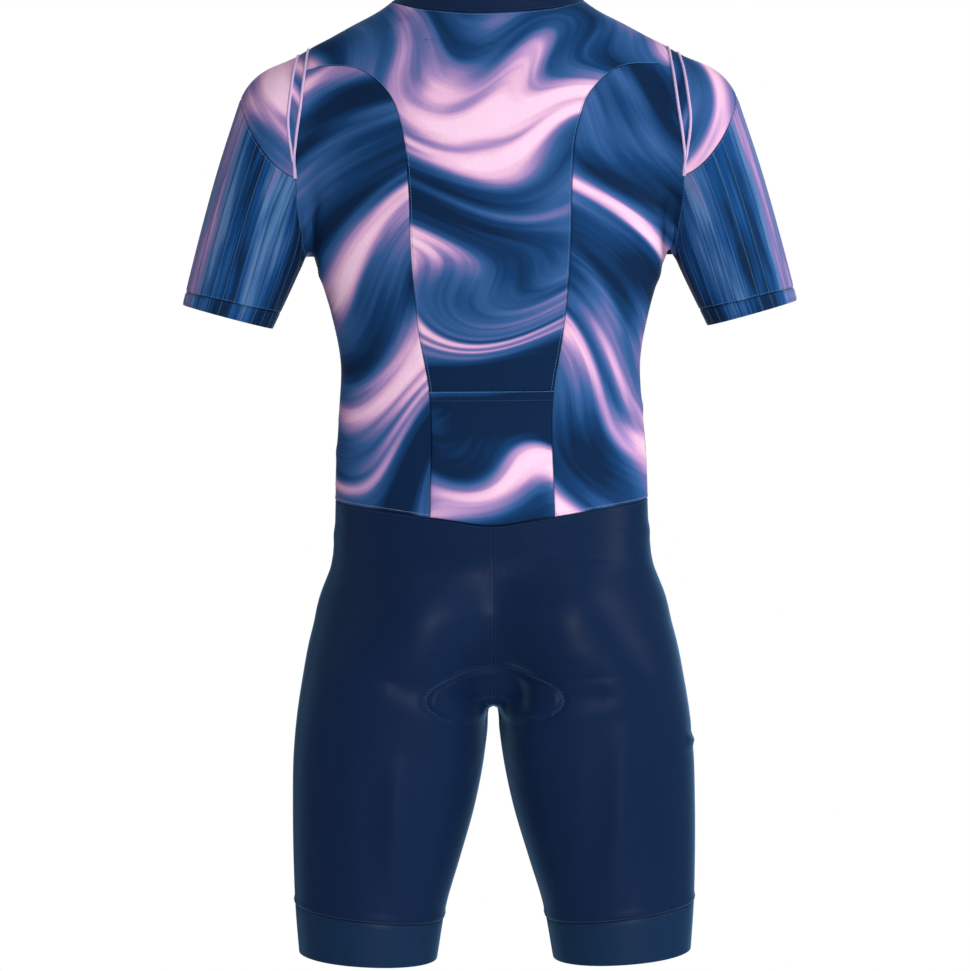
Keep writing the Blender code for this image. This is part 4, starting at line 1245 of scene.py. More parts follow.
def lobe_reach(points):
    """How far points are inside the lobe on their side, seen from the back. It is negative outside."""
    border = finer(np.array(LOBE), times=4)
    border = np.concatenate([border, border[:1]])
    seen = np.stack([np.abs(points[:, 0]), points[:, 2]], 1)
    nearest = near_line(seen, border)[0]
    crossings = np.zeros(len(seen), int)
    for start, end in zip(border[:-1], border[1:]):
        run = end - start
        between_ends = (start[1] > seen[:, 1]) != (end[1] > seen[:, 1])
        level = np.divide(seen[:, 1] - start[1], run[1], out=np.zeros(len(seen)), where=between_ends)
        crossings += between_ends & (seen[:, 0] < start[0] + level * run[0])
    inside = np.where(crossings % 2 == 1, nearest, -nearest)
    return np.minimum(inside, points[:, 1] - LOBE_DEPTH)


def shorts_relief(at):
    """The pad presses its lobes out, and the cloth rolls a little above the leg band."""
    inside = lobe_reach(at.points.reshape(-1, 3)).reshape(at.points.shape[:2])
    pressed = PAD_RISE * eased(inside / PAD_SLOPE) + roll(inside, LOBE_DIP)
    return pressed + roll(at.reach["end"], BAND_ROLL)


def band_relief(at):
    """The band is drawn in a little at the seam above it."""
    return hem(at.reach["start"], BAND_SINK)


def make_shorts(seams, finishes):
    """A leg piece: the hip down to the crotch, then the leg as a tube sewn along its inner side."""
    waist = joined(seams["waist_back"], seams["waist_side"], seams["waist_front"])
    middle_front = seen_from(False, np.array([0.0]), waist[-1:, 2])[0]
    waist[-1] = middle_front
    rows = STRIPS["seat"] * FINE
    centre_back = crotch_curve(np.linspace(crotch_angle(waist[0]), 90, rows + 1))
    centre_front = crotch_curve(np.linspace(crotch_angle(middle_front), 90, rows + 1))
    centre_back[0], centre_front[0] = waist[0], middle_front
    crotch = centre_back[-1]
    angles = np.linspace(0, 360, len(waist))
    top_of_leg = leg_top(crotch, angles)
    hip = filled(waist, top_of_leg, centre_back, centre_front)
    band_seam = hoop(leg_centre(BAND_SEAM[0]), BAND_SEAM[1], angles)
    inner_leg = straight(crotch, band_seam[0], STRIPS["leg"] * FINE)
    leg = filled(top_of_leg, band_seam, inner_leg, inner_leg)
    edges = dict(ALL_SEWN, left="faint", right="faint")
    grid = np.concatenate([hip, leg[1:]])
    left_and_right("shorts", grid, finishes["shorts"], edges, relief=shorts_relief)

    band_end = hoop(leg_centre(BAND_HEM[0]), BAND_HEM[1], angles)
    inner_leg = straight(band_seam[0], band_end[0], STRIPS["band"] * FINE)
    edges = dict(ALL_SEWN, end="free")
    band = filled(band_seam, band_end, inner_leg, inner_leg)
    left_and_right("leg_band", band, finishes["leg_band"], edges, relief=band_relief)


def make_pad(finishes):
    """The foam pad: crowned towards the skin, with channels pressed into it."""
    pad = pad_grid()
    reach = reaches(pad)
    near = np.minimum(reach["left"], reach["right"])
    near = np.minimum(near, np.minimum(reach["start"], reach["end"]) * PAD_END_STEEPNESS)
    crown = eased(near / PAD_BEVEL) ** PAD_FULLNESS
    channel = 1.0 - roll(near, PAD_CHANNEL) - roll(pad[..., 0], PAD_MIDDLE_CHANNEL)
    thickness = PAD_EDGE + (PAD_THICKNESS - PAD_EDGE) * crown * channel
    ways = uphill(pad.reshape(-1, 3))[0].reshape(pad.shape)
    sunk = np.minimum(folded(pad), 0)
    outer = pad - ways * (PAD_DEPTH + PAD_EDGE_CLEAR * (1 - crown) - sunk)[..., None]
    inner = outer - ways * thickness[..., None]
    uv = np.stack([reach["left"], reach["start"]], -1)
    item = shell("foam_seat_pad", outer, inner, uv, {}, finishes["seat_pad"])
    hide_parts("seat_pad")
    return attached(item, "pad_foam")


def make_zip(seams, collar_end, finishes):
    """The woven tape down the front, and the closed coil along its middle."""
    heights = joined(seams["front_edge"], collar_end)[:, 2]
    across = np.linspace(-ZIP_HALF_WIDTH, ZIP_HALF_WIDTH, TAPE_STRIPS + 1)
    grid = np.array([seen_from(False, across, np.full(len(across), h)) for h in heights])
    edges = {"start": "sewn", "end": "free"}
    cloth("front_zip", grid, finishes["front_zip"], edges, lift=-TAPE_SINK)
    middle_column = TAPE_STRIPS // 2 + len(MARGINS)
    middle = FACES["front_zip"].points[:, middle_column]
    ways = FACES["front_zip"].ways[:, middle_column]
    corners = []
    for half, phase in ((-1, 0.0), (1, TOOTH_PITCH / 2)):
        centres, along, out = evenly(middle, ways, TOOTH_PITCH)
        across_way = np.cross(out, along) * half
        centres = centres + along * phase + across_way * TOOTH_OFFSET
        corners.append(bars(centres, across_way, out, TOOTH_LENGTH, TOOTH_WIDTH, TOOTH_HEIGHT))
    merged("zip_teeth", np.concatenate(corners), finishes["zip_teeth"], "zip_metal")


def sew(threads):
    """Every row of stitches, one piece for each thread on each piece of cloth."""
    for piece, border, distance, thread, spacing, length, slant in SEWING:
        for side in SIDES if "SIDE" in piece else ("",):
            sewn = piece.replace("SIDE", side)
            line, ways = line_beside(sewn, border, distance)
            corners = stitches(line, ways, spacing, length, slant)
            name = f"stitches_{sewn}_{border}_{thread}"
            merged(name, corners, threads[thread], SLOTS[kind_of(sewn)])


def pipe_armholes(threads):
    """A cord along each armhole, and one along the other side of the strip beside it."""
    for side in SIDES:
        cap = f"sleeve_cap_{side}"
        distances = (PIPING_INSET, strip_width(FACES[cap].reach))
        lines = [line_beside(cap, "start", distance) for distance in distances]
        piping(f"piping_armhole_{side}", lines, threads["piping"], "printed_cloth")


def sew_lobes(threads):
    """The zigzag stitches that show along the border of the pad's lobes."""
    border = finer(np.array(LOBE[LOBE_SEWN]), times=6)
    for side, way in zip(SIDES, (1, -1)):
        line = seen_from(True, border[:, 0] * way, border[:, 1])
        ways = uphill(line)[0]
        line = line + ways * folded(line)[:, None]
        corners = stitches(line, ways, *LOBE_STITCHES)
        merged(f"stitches_shorts_{side}_lobe_steel_blue", corners, threads["steel_blue"], "navy_cloth")


# ---------------------------------------------------------------- node helpers

def node(tree, kind, inputs=None, **settings):
    """A shader node with its settings, and its inputs set to values or linked to sockets."""
    made = tree.nodes.new("ShaderNode" + kind)
    for setting, value in settings.items():
        setattr(made, setting, value)
    for key, value in (inputs or {}).items():
        if isinstance(value, bpy.types.NodeSocket):
            tree.links.new(value, made.inputs[key])
        else:
            made.inputs[key].default_value = value
    return made


def maths(tree, operation, *values):
    """A sum, product or other operation on numbers."""
    return node(tree, "Math", dict(enumerate(values)), operation=operation).outputs[0]


def vectors(tree, operation, *values):
    """A sum, product or other operation on vectors."""
    return node(tree, "VectorMath", dict(enumerate(values)), operation=operation).outputs[0]


def summed(tree, start, *parts):
    """A number plus some values, each times its weight."""
    total = start
    for value, weight in parts:
        total = maths(tree, "ADD", total, maths(tree, "MULTIPLY", value, weight))
    return total


def scaled(tree, vector, factor):
    """A vector or a colour times a number."""
    return node(tree, "VectorMath", {0: vector, 3: factor}, operation="SCALE").outputs[0]


def rgba(colour, share=1.0):
    """A colour, or a share of it, as a colour socket takes it."""
    return (*(part * share for part in colour), 1)


def mixed(tree, factor, one, other):
    """Two colours mixed."""
    return node(tree, "Mix", {0: factor, 6: one, 7: other}, data_type="RGBA").outputs[2]


def ramp(tree, factor, stops):
    """A colour read from a row of stops: place, colour."""
    made = node(tree, "ValToRGB", {0: factor})
    elements = made.color_ramp.elements
    elements[0].position, elements[0].color = stops[0][0], rgba(stops[0][1])
    elements[1].position, elements[1].color = stops[-1][0], rgba(stops[-1][1])
    for place, colour in stops[1:-1]:
        elements.new(place).color = rgba(colour)
    return made.outputs[0]


def between(tree, value, none, full):
    """0 where a value is that of none or beyond it, 1 from full on, and smooth between."""
    inputs = {0: value, 1: none, 2: full, 3: 0.0, 4: 1.0}
    return node(tree, "MapRange", inputs, interpolation_type="SMOOTHSTEP").outputs[0]


def noise(tree, vector, scale=1.0, detail=2.0, roughness=0.5, output="Fac"):
    """A noise texture, read as a value or as a colour."""
    inputs = {"Vector": vector, "Scale": scale, "Detail": detail, "Roughness": roughness}
    return node(tree, "TexNoise", inputs).outputs[output]


def marked(tree, mark):
    """A mark on the cloth, such as how far each point is from the nearest seam."""
    return node(tree, "Attribute", attribute_name=mark).outputs["Fac"]


def bumped(tree, shader, height, strength, depth, **settings):
    """Gives a shader's surface the relief of a height."""
    inputs = {"Strength": strength, "Distance": depth, "Height": height}
    bump = node(tree, "Bump", inputs, **settings)
    tree.links.new(bump.outputs[0], shader.inputs["Normal"])


def grouped(tree, group, inputs):
    """A node group placed in a material."""
    return node(tree, "Group", inputs, node_tree=group).outputs


def new_group(name, inputs, outputs):
    """An empty node group, with its inner input and output sockets."""
    tree = bpy.data.node_groups.new(name, "ShaderNodeTree")
    for way, sockets in (("INPUT", inputs), ("OUTPUT", outputs)):
        for label, kind in sockets.items():
            tree.interface.new_socket(name=label, in_out=way, socket_type="NodeSocket" + kind)
    return tree, tree.nodes.new("NodeGroupInput").outputs, tree.nodes.new("NodeGroupOutput").inputs


# ---------------------------------------------------------------- shared effects

# The print's colours, from the darkest to the palest
NAVY = (0.0050, 0.0180, 0.0560)
DEEP_BLUE = (0.0080, 0.0420, 0.1350)
COBALT = (0.0070, 0.0560, 0.1900)
BLUE = (0.0300, 0.0950, 0.2550)
SKY_BLUE = (0.0750, 0.1800, 0.3600)
PERIWINKLE = (0.1350, 0.1350, 0.3300)
LAVENDER = (0.3600, 0.2300, 0.4700)
PINK = (0.7000, 0.4100, 0.6000)
PALE_PINK = (0.8300, 0.5600, 0.7300)

# Where those colours come, from dark to pale, in the print and in the columns of the sleeve
PRINT_COLOURS = [
    (0.00, NAVY), (0.20, DEEP_BLUE), (0.40, BLUE), (0.55, PERIWINKLE),
    (0.68, LAVENDER), (0.82, PINK), (1.00, PALE_PINK),
]
COLUMN_COLOURS = [
    (0.18, NAVY), (0.36, COBALT), (0.50, BLUE), (0.62, SKY_BLUE), (0.76, PERIWINKLE), (0.92, LAVENDER),
]

# How pale the sleeve is round the arm, from its inner side by the back: place, paleness
SLEEVE_PALENESS = [
    (0.00, 0.18), (0.08, 0.22), (0.13, 0.30), (0.17, 0.50), (0.21, 0.56), (0.25, 0.36), (0.30, 0.28),
    (0.35, 0.50), (0.39, 0.84), (0.47, 0.84), (0.55, 0.46), (0.75, 0.52), (0.90, 0.34), (1.00, 0.18),
]

# Highlights on dyed cloth
DYED_SHINE = (0.30, 0.60, 1.00)

# The print's swirls: distance out, height, radius, turn in degrees
SWIRLS = [
    (0.095, -0.060, 0.080, 80),
    (-0.060, -0.150, 0.090, -95),
    (0.050, -0.265, 0.085, 100),
    (-0.125, -0.320, 0.080, 75),
    (0.005, -0.420, 0.085, -85),
    (-0.130, -0.050, 0.070, 70),
    (0.125, -0.390, 0.075, -80),
]
SWIRL_DEPTH = 0.25        # the share of a point's depth that counts in how far it is from a swirl
WANDER = 0.14             # the span over which the ribbons stray
RIBBON_MIDDLE = (0, 0, -0.25)    # the ribbons of each piece are turned about this

# The print's ribbons and their fine streaks: how tightly they repeat along, through and across
RIBBON_SCALE = (3.6, 3.6, 19.0)
RIBBON_LEAN = 1.3         # how much sharper a ribbon is along one side than the other
STREAK_SCALE = (7.0, 7.0, 110.0)
PRINT_RANGE = (0.42, 0.77)    # the sums of ribbons and streaks that are darkest and palest


def flowing_print_group():
    """Soft streaky ribbons of colour that swirl, each sharper along one side than the other."""
    tree, given, shown = new_group(
        "flowing print",
        {"Vector": "Vector", "Shift": "Vector", "Turn": "Float", "Blueness": "Float"},
        {"Colour": "Color"},
    )
    place = vectors(tree, "ADD", given["Vector"], given["Shift"])
    for across, height, radius, turn in SWIRLS:
        centre = (across, 0.0, height)
        flat = vectors(tree, "MULTIPLY", place, (1.0, SWIRL_DEPTH, 1.0))
        apart = node(tree, "VectorMath", {0: flat, 1: centre}, operation="DISTANCE").outputs["Value"]
        share = maths(tree, "DIVIDE", apart, radius)
        square = maths(tree, "MULTIPLY", share, share)
        fade = maths(tree, "EXPONENT", maths(tree, "MULTIPLY", square, -1.0))
        angle = maths(tree, "MULTIPLY", fade, math.radians(turn))
        inputs = {"Vector": place, "Center": centre, "Axis": (0, 1, 0), "Angle": angle}
        place = node(tree, "VectorRotate", inputs).outputs[0]
    wander = noise(tree, place, scale=4.0, detail=0.0, output="Color")
    wander = vectors(tree, "SUBTRACT", wander, (0.5, 0.5, 0.5))
    place = vectors(tree, "ADD", place, vectors(tree, "MULTIPLY", wander, (WANDER,) * 3))
    inputs = {"Vector": place, "Center": RIBBON_MIDDLE, "Axis": (0, 1, 0), "Angle": given["Turn"]}
    place = node(tree, "VectorRotate", inputs).outputs[0]
    drawn = vectors(tree, "MULTIPLY", place, RIBBON_SCALE)
    lean = maths(tree, "MULTIPLY", noise(tree, drawn, detail=0.0), RIBBON_LEAN)
    leaned = vectors(tree, "ADD", drawn, node(tree, "CombineXYZ", {2: lean}).outputs[0])
    ribbon = noise(tree, leaned, detail=0.0)
    narrow = noise(tree, leaned, scale=2.3, detail=0.0)
    streaks = noise(tree, vectors(tree, "MULTIPLY", place, STREAK_SCALE))
    parts = ((ribbon, 0.58), (narrow, 0.42), (streaks, 0.16), (given["Blueness"], -0.10))
    level = summed(tree, 0.0, *parts)
    darkest, palest = PRINT_RANGE
    level = node(tree, "MapRange", {0: level, 1: darkest, 2: palest, 3: 0.0, 4: 1.0}).outputs[0]
    tree.links.new(ramp(tree, level, PRINT_COLOURS), shown["Colour"])
    return tree


def knit_group():
    """Fine knitted loops: a light speckle, and the height of the loops."""
    tree, given, shown = new_group(
        "fine knit", {"Vector": "Vector", "Scale": "Float"}, {"Speckle": "Float", "Height": "Float"}
    )
    place = scaled(tree, given["Vector"], given["Scale"])
    inputs = {"Vector": place, "Scale": 1.0, "Randomness": 0.35}
    loops = node(tree, "TexVoronoi", inputs).outputs["Distance"]
    fine = noise(tree, place, scale=0.55)
    broad = noise(tree, given["Vector"], scale=60.0, detail=3.0)
    tree.links.new(summed(tree, 0.0, (fine, 0.7), (broad, 0.3)), shown["Speckle"])
    tree.links.new(maths(tree, "SUBTRACT", 1.0, loops), shown["Height"])
    return tree


def painted_seam_shade_group():
    """Painted shade: the share of its colour that cloth keeps, down in a seam's groove and away from it."""
    tree, given, shown = new_group("painted seam shade", {"Edge": "Float"}, {"Shade": "Float"})
    clear = between(tree, given["Edge"], none=0.0, full=SHADE_WIDTH)
    tree.links.new(summed(tree, SHADE_DARKEST, (clear, 1 - SHADE_DARKEST)), shown["Shade"])
    return tree


def rib_highlight_and_shade_group():
    """A painted highlight along the crest of each rib, and painted shade beside it towards the groove."""
    tree, given, shown = new_group(
        "painted rib highlight and shade", {"Around": "Float"}, {"Pale": "Float", "Dark": "Float", "Column": "Float"}
    )
    turned = maths(tree, "MULTIPLY", given["Around"], float(RIBS))
    phase = maths(tree, "FRACT", turned)
    rise = between(tree, phase, none=0.01, full=0.06)
    fall = between(tree, phase, none=0.14, full=0.08)
    tree.links.new(maths(tree, "MULTIPLY", rise, fall), shown["Pale"])
    down = between(tree, phase, none=0.12, full=0.18)
    up = between(tree, phase, none=0.34, full=0.20)
    tree.links.new(maths(tree, "MULTIPLY", down, up), shown["Dark"])
    tree.links.new(turned, shown["Column"])
    return tree


# ---------------------------------------------------------------- finishes

# Where each printed piece was cut from the printed cloth: piece, side, shift, turn, strip's shift
PRINTS = [
    ("back_centre", "", (0.000, 0.00, 0.000), 20, None),
    ("back_pocket", "", (0.020, 0.00, 0.030), 20, None),
    ("back_side", "left", (0.090, 0.10, 0.140), -35, None),
    ("back_side", "right", (-0.060, 0.20, 0.090), 50, None),
    ("front", "left", (0.030, 0.35, -0.040), -25, None),
    ("front", "right", (-0.080, 0.45, 0.060), 30, None),
    ("sleeve_cap", "left", (-0.140, 0.60, -0.090), 60, (0.1, 0.3, -0.2)),
    ("sleeve_cap", "right", (0.120, 0.75, -0.120), -60, (-0.2, 0.4, 0.1)),
]
STRIP_BLUENESS = 0.55

# Where each ribbed piece was cut, and how much darker it is: piece, side, shift, darkness
RIBBED = [
    ("sleeve", "left", (0.100, 0.90, 0.050), 0.0),
    ("sleeve", "right", (-0.120, 1.05, 0.020), 0.0),
    ("cuff", "left", (0.220, 1.20, 0.150), 0.10),
    ("cuff", "right", (-0.200, 1.35, 0.120), 0.10),
]

# Plain colours
NAVY_CLOTH = (0.0034, 0.0125, 0.0440)
BAND_CLOTH = (0.0044, 0.0190, 0.0540)
ZIP_COIL = (0.012, 0.020, 0.040)
ZIP_METAL = (0.050, 0.055, 0.070)

# The darkest and the palest colour of the zip's tape, the pad and the floor
TAPE_COLOURS = ((0.006, 0.014, 0.038), (0.014, 0.030, 0.075))
PAD_COLOURS = ((0.030, 0.075, 0.150), (0.055, 0.120, 0.230))
FLOOR_COLOURS = ((0.86, 0.86, 0.87), (0.90, 0.90, 0.90))

WRONG_SIDE = (0.42, 0.44, 0.52)    # the yarn that shows inside the printed cloth
WRONG_SIDE_SHARE = 0.72            # how much of the print it hides
PALER_INSIDE = 1.6                 # how many times paler navy cloth is inside
SATIN_ROUGHNESS = 0.38
SHEEN_ROUGHNESS = 0.35
SPECKLE = 0.32                     # how much the loops of cloth differ in light
ROUGHNESS_SPREAD = 0.12            # and in roughness
HANDLING_SPREAD = 0.2              # how much marks of handling on metal differ in roughness

# How tightly textures repeat across, through and along: the sleeve's streaks, whose first unit is
# the width of a rib, the yarn of navy cloth, and the marks of handling on metal
WIDE_STREAKS = (0.55, 1.0, 7.0)
FINE_STREAKS = (3.2, 1.0, 9.0)
YARN_SCALE = (260.0, 260.0, 6.0)
HANDLING_SCALE = (900.0, 900.0, 120.0)

# The colour of each thread, and of the piping
THREADS = {
    "pale_blue": (0.150, 0.250, 0.500),
    "sky": (0.080, 0.260, 0.500),
    "lavender": (0.500, 0.400, 0.680),
    "piping": (0.620, 0.450, 0.720),
    "steel_blue": (0.045, 0.090, 0.190),
    "navy": (0.012, 0.028, 0.070),
}


def new_material(name, roughness, specular, metallic=0.0, tint=(1.0, 1.0, 1.0), sheen=0.0):
    """A material with its shader's plain values set, and its object coordinates."""
    made = bpy.data.materials.new(name)
    made.use_nodes = True
    tree = made.node_tree
    shader = tree.nodes["Principled BSDF"]
    shader.inputs["Roughness"].default_value = roughness
    shader.inputs["Specular IOR Level"].default_value = specular
    shader.inputs["Metallic"].default_value = metallic
    shader.inputs["Specular Tint"].default_value = rgba(tint)
    shader.inputs["Sheen Weight"].default_value = sheen
    shader.inputs["Sheen Roughness"].default_value = SHEEN_ROUGHNESS
    shader.inputs["Sheen Tint"].default_value = rgba(tint)
    return made, tree, shader, node(tree, "TexCoord").outputs["Object"]


def finish_cloth(tree, shader, place, colour, effects, roughness, loops, depth):
    """Gives cloth its colour with a light speckle, painted shade at the seams, and the relief of its loops.
    """
    knit = grouped(tree, effects["knit"], {"Vector": place, "Scale": loops})
    # Painted shade: the cloth's colour darkens towards each seam's groove
    shade = grouped(tree, effects["painted seam shade"], {"Edge": marked(tree, "edge")})["Shade"]
    speckled = summed(tree, 1 - SPECKLE / 2, (knit["Speckle"], SPECKLE))
    light = maths(tree, "MULTIPLY", speckled, shade)
    tree.links.new(scaled(tree, colour, light), shader.inputs["Base Color"])
    rough = summed(tree, roughness - ROUGHNESS_SPREAD / 2, (knit["Speckle"], ROUGHNESS_SPREAD))
    tree.links.new(rough, shader.inputs["Roughness"])
    bumped(tree, shader, knit["Height"], strength=0.5, depth=depth)


def printed_cloth(name, shift, turn, strip, effects):
    """The print on a matt, slightly fuzzy knit. A strip may carry it from another place, and bluer."""
    made, tree, shader, place = new_material(name, roughness=0.6, specular=0.01, tint=DYED_SHINE, sheen=0.02)
    inputs = {"Vector": place, "Shift": shift, "Turn": math.radians(turn), "Blueness": 0.0}
    colour = grouped(tree, effects["print"], inputs)["Colour"]
    if strip:
        inputs = dict(inputs, Shift=strip, Blueness=STRIP_BLUENESS)
        other = grouped(tree, effects["print"], inputs)["Colour"]
        colour = mixed(tree, marked(tree, "strip"), colour, other)
    finish_cloth(tree, shader, place, colour, effects, roughness=0.58, loops=1300.0, depth=0.00012)
    return made


def printed_inside(name, shift, turn, effects):
    """The wrong side of the printed cloth, where the colours only just show."""
    made, tree, shader, place = new_material(name, roughness=0.7, specular=0.05)
    inputs = {"Vector": place, "Shift": shift, "Turn": math.radians(turn), "Blueness": 0.0}
    colour = grouped(tree, effects["print"], inputs)["Colour"]
    colour = mixed(tree, WRONG_SIDE_SHARE, colour, rgba(WRONG_SIDE))
    finish_cloth(tree, shader, place, colour, effects, roughness=0.7, loops=1300.0, depth=0.00012)
    return made


def ribbed_cloth(name, shift, darkness, effects):
    """Sleeve cloth: deep blue columns between raised ribs, each with a painted highlight on its crest and
    painted shade beside it.
    """
    made, tree, shader, place = new_material(name, roughness=0.55, specular=0.03, tint=DYED_SHINE)
    around = marked(tree, "around")
    lines = grouped(tree, effects["painted rib highlight and shade"], {"Around": around})
    height = node(tree, "SeparateXYZ", {0: place}).outputs[2]
    spread = node(tree, "CombineXYZ", {0: lines["Column"], 1: shift[0] * 50, 2: height}).outputs[0]
    wide = noise(tree, vectors(tree, "MULTIPLY", spread, WIDE_STREAKS))
    fine = noise(tree, vectors(tree, "MULTIPLY", spread, FINE_STREAKS), roughness=0.6)
    side = ramp(tree, around, [(where, (pale,) * 3) for where, pale in SLEEVE_PALENESS])
    level = summed(tree, -0.86 - darkness, (wide, 1.20), (fine, 0.50), (side, 1.0))
    columns = ramp(tree, level, COLUMN_COLOURS)
    # Painted shade beside each rib's crest, then a painted highlight along the crest
    colour = mixed(tree, maths(tree, "MULTIPLY", lines["Dark"], 0.45), columns, rgba(NAVY))
    pale = mixed(tree, 0.35, colour, rgba(SKY_BLUE))
    colour = mixed(tree, lines["Pale"], colour, pale)
    finish_cloth(tree, shader, place, colour, effects, roughness=0.52, loops=1400.0, depth=0.00010)
    return made


def plain_cloth(name, colour, effects, roughness, satin, paler=1.0):
    """Smooth navy cloth, a little uneven in tone, with a satin shine where it faces the eye."""
    made, tree, shader, place = new_material(name, roughness, specular=0.0, tint=DYED_SHINE, sheen=0.45)
    lengthwise = vectors(tree, "MULTIPLY", place, YARN_SCALE)
    lines = noise(tree, lengthwise, detail=1.0)
    patches = noise(tree, place, scale=9.0)
    light = summed(tree, 0.80, (lines, 0.16), (patches, 0.24))
    toned = scaled(tree, tuple(part * paler for part in colour), light)
    shader.inputs["Coat Roughness"].default_value = SATIN_ROUGHNESS
    turned = node(tree, "LayerWeight", {"Blend": 0.5}).outputs["Facing"]
    facing = between(tree, turned, none=0.70, full=0.15)
    tree.links.new(maths(tree, "MULTIPLY", facing, satin), shader.inputs["Coat Weight"])
    finish_cloth(tree, shader, place, toned, effects, roughness=roughness, loops=1500.0, depth=0.00008)
    return made


def thread(name, colour):
    """Polyester thread with the lines of its twist."""
    made, tree, shader, place = new_material(name, roughness=0.45, specular=0.3)
    twist = node(tree, "TexWave", {"Vector": place, "Scale": 900.0, "Distortion": 1.5}).outputs["Fac"]
    tone = mixed(tree, twist, rgba(colour, 0.75), rgba(colour))
    tree.links.new(tone, shader.inputs["Base Color"])
    bumped(tree, shader, twist, strength=0.4, depth=0.0001)
    return made


def zip_tape_cloth(effects):
    """Navy woven tape with slanting lines."""
    made, tree, shader, place = new_material("woven zip tape", roughness=0.6, specular=0.25)
    inputs = {"Vector": place, "Scale": 420.0, "Distortion": 0.3}
    twill = node(tree, "TexWave", inputs, bands_direction="DIAGONAL").outputs["Fac"]
    colour = mixed(tree, twill, *map(rgba, TAPE_COLOURS))
    finish_cloth(tree, shader, place, colour, effects, roughness=0.6, loops=1600.0, depth=0.00010)
    return made


def dark_metal(name, colour, roughness, metallic):
    """Dark enamelled metal, slightly cloudy, with fine handling marks."""
    made, tree, shader, place = new_material(name, roughness, specular=0.5, metallic=metallic)
    cloud = noise(tree, place, scale=180.0, detail=3.0)
    marks = noise(tree, vectors(tree, "MULTIPLY", place, HANDLING_SCALE))
    tone = mixed(tree, cloud, rgba(colour, 0.7), rgba(colour, 1.25))
    tree.links.new(tone, shader.inputs["Base Color"])
    rough = summed(tree, roughness - HANDLING_SPREAD / 2, (marks, HANDLING_SPREAD))
    tree.links.new(rough, shader.inputs["Roughness"])
    bumped(tree, shader, marks, strength=0.15, depth=0.0001)
    return made


def pad_foam():
    """Brushed pad cloth over foam, with a dotted relief."""
    made, tree, shader, place = new_material("brushed pad foam", roughness=0.85, specular=0.10)
    dots = node(tree, "TexVoronoi", {"Vector": place, "Scale": 330.0, "Randomness": 0.15}).outputs[0]
    brushed = noise(tree, place, scale=700.0, detail=3.0)
    tone = summed(tree, 0.0, (dots, 0.9), (brushed, 0.4))
    colour = mixed(tree, tone, *map(rgba, PAD_COLOURS))
    tree.links.new(colour, shader.inputs["Base Color"])
    bumped(tree, shader, tone, strength=0.6, depth=0.0006, invert=True)
    return made


def make_finishes():
    """Every finish, by the piece that it goes on, outside and then inside, and every thread."""
    effects = {
        "print": flowing_print_group(),
        "knit": knit_group(),
        "painted seam shade": painted_seam_shade_group(),
        "painted rib highlight and shade": rib_highlight_and_shade_group(),
    }
    wrong_side = {"roughness": 0.6, "satin": 0.05, "paler": PALER_INSIDE}
    navy_in = plain_cloth("navy cloth inside", NAVY_CLOTH, effects, **wrong_side)
    navy = plain_cloth("navy satin cloth", NAVY_CLOTH, effects, roughness=0.38, satin=0.085)
    band = plain_cloth("gripper band cloth", BAND_CLOTH, effects, roughness=0.40, satin=0.10)
    band_in = plain_cloth("gripper band inside", BAND_CLOTH, effects, **wrong_side)
    finishes = {
        "collar": (navy, navy_in),
        "shorts": dict.fromkeys(SIDES, (navy, navy_in)),
        "leg_band": dict.fromkeys(SIDES, (band, band_in)),
        "front_zip": (zip_tape_cloth(effects),) * 2,
        "zip_teeth": dark_metal("zip coil", ZIP_COIL, roughness=0.35, metallic=0.0),
        "seat_pad": (pad_foam(),) * 2,
    }
    for piece, side, shift, turn, strip in PRINTS:
        name = f"printed cloth {piece} {side}".replace("_", " ").strip()
        outside = printed_cloth(name, shift, turn, strip, effects)
        pair = (outside, printed_inside(name + " inside", shift, turn, effects))
        if side:
            finishes.setdefault(piece, {})[side] = pair
        else:
            finishes[piece] = pair
    for piece, side, shift, darkness in RIBBED:
        outside = ribbed_cloth(f"ribbed cloth {piece} {side}", shift, darkness, effects)
        inside = printed_inside(f"ribbed cloth {piece} {side} inside", shift, 0, effects)
        finishes.setdefault(piece, {})[side] = (outside, inside)
    threads = {name: thread(name.replace("_", " ") + " thread", colour) for name, colour in THREADS.items()}
    return finishes, threads


# ---------------------------------------------------------------- floor, lamps and camera

FLOOR_HEIGHT = -1.45      # the neck of a standing wearer is this far above the floor
FLOOR_RADIUS = 1.6
FLOOR_SIDES = 96
CAMERA_PLACE = (0.030, 3.10, -0.281)
CAMERA_AIM = (0.0065, 0.0, -0.473)
CAMERA_ROLL = -0.45       # degrees
FOCAL_LENGTH = 115.7567   # millimetres
SENSOR_WIDTH = 36.0       # millimetres
WORLD_LIGHT = 0.25

# Lamps: name, place, width, height, watts
LAMPS = [
    ("key", (-2.9, 0.9, 0.6), 1.0, 1.8, 54),
    ("back", (-0.9, 2.7, -0.25), 0.4, 2.2, 27),
    ("left", (2.9, 0.4, 0.2), 1.0, 1.8, 6),
    ("low", (-0.5, 2.4, -0.95), 0.3, 0.9, 25),
    ("top", (-0.3, 1.0, 2.2), 1.6, 1.2, 15),
    ("front", (-0.5, -2.8, 0.6), 2.0, 2.0, 30),
]
LAMP_AIM = (0, 0, -0.45)


def make_floor():
    """A round pale floor under the suit, below what the main camera sees."""
    bm = bmesh.new()
    bmesh.ops.create_circle(bm, cap_ends=True, segments=FLOOR_SIDES, radius=FLOOR_RADIUS)
    mesh = bpy.data.meshes.new("floor")
    bm.to_mesh(mesh)
    bm.free()
    floor = placed("floor", mesh)
    floor.location = (0, 0, FLOOR_HEIGHT)
    made, tree, shader, place = new_material("pale floor", roughness=0.8, specular=0.2)
    grain = noise(tree, place, scale=14.0, detail=3.0)
    tone = mixed(tree, grain, *map(rgba, FLOOR_COLOURS))
    tree.links.new(tone, shader.inputs["Base Color"])
    mesh.materials.append(made)


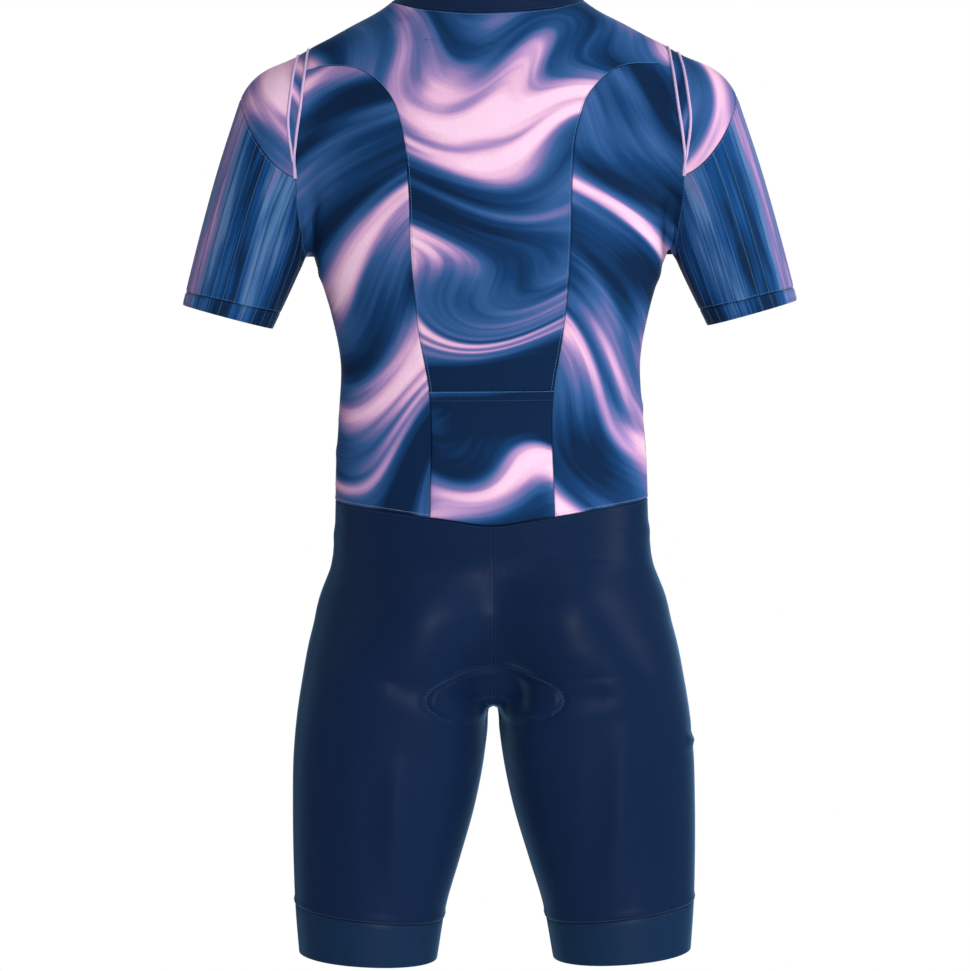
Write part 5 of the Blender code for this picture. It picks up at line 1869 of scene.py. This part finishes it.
def make_world():
    """White where it is looked at, and a soft even light on everything else."""
    world = bpy.data.worlds.new("studio")
    world.use_nodes = True
    bpy.context.scene.world = world
    tree = world.node_tree
    background = tree.nodes["Background"]
    background.inputs["Color"].default_value = (1, 1, 1, 1)
    rays = node(tree, "LightPath").outputs
    seen = maths(tree, "MAXIMUM", rays["Is Camera Ray"], rays["Is Transmission Ray"])
    seen = maths(tree, "MAXIMUM", seen, rays["Is Glossy Ray"])
    level = summed(tree, WORLD_LIGHT, (seen, 1 - WORLD_LIGHT))
    tree.links.new(level, background.inputs["Strength"])


def make_lamps():
    """Soft rectangular lamps round the suit, aimed at its middle."""
    for name, place, width, height, watts in LAMPS:
        lamp = bpy.data.lights.new(name, "AREA")
        lamp.shape = "RECTANGLE"
        lamp.size, lamp.size_y, lamp.energy = width, height, watts
        item = placed(name, lamp)
        item.location = place
        item.rotation_euler = (Vector(LAMP_AIM) - Vector(place)).to_track_quat("-Z", "Y").to_euler()


def make_camera():
    """Behind the suit, a little above its middle, far enough for a flat view."""
    lens = bpy.data.cameras.new("camera")
    lens.sensor_width = SENSOR_WIDTH
    lens.lens = FOCAL_LENGTH
    lens.clip_end = 50
    camera = placed("camera", lens)
    camera.location = CAMERA_PLACE
    way = Vector(CAMERA_AIM) - Vector(CAMERA_PLACE)
    turned = way.to_track_quat("-Z", "Y") @ Quaternion((0, 0, 1), math.radians(CAMERA_ROLL))
    camera.rotation_euler = turned.to_euler()
    bpy.context.scene.camera = camera


# ---------------------------------------------------------------- the whole suit

def declare_sheets():
    """Reads the flat cut of each piece of cloth and the threads that are on it, but does nothing with them.
    """
    for piece in FACES:
        width, length, area = CUTS[kind_of(piece)]
        on_it = [item for item in bpy.data.objects if item.name.startswith(f"stitches_{piece}_")]


def finish_slider():
    """Gives the slider and its pull tab their metal."""
    metal = dark_metal("dark zip metal", ZIP_METAL, roughness=0.34, metallic=0.9)
    for name in ("zip_slider", "zip_pull"):
        frame["nodes"][name].material_slots[0].material = metal


def main():
    """Makes the suit, the floor, the lamps and the camera."""
    finishes, threads = make_finishes()
    seams = make_seams()
    make_back(seams, finishes)
    make_side_backs(seams, finishes)
    make_fronts(seams, finishes)
    collar_end = make_collar(seams, finishes)
    make_sleeves(seams, finishes)
    make_shorts(seams, finishes)
    make_pad(finishes)
    make_zip(seams, collar_end, finishes)
    sew(threads)
    pipe_armholes(threads)
    sew_lobes(threads)
    declare_sheets()
    finish_slider()
    make_floor()
    make_world()
    make_lamps()
    make_camera()
    bpy.context.scene.view_settings.view_transform = "Standard"


main()
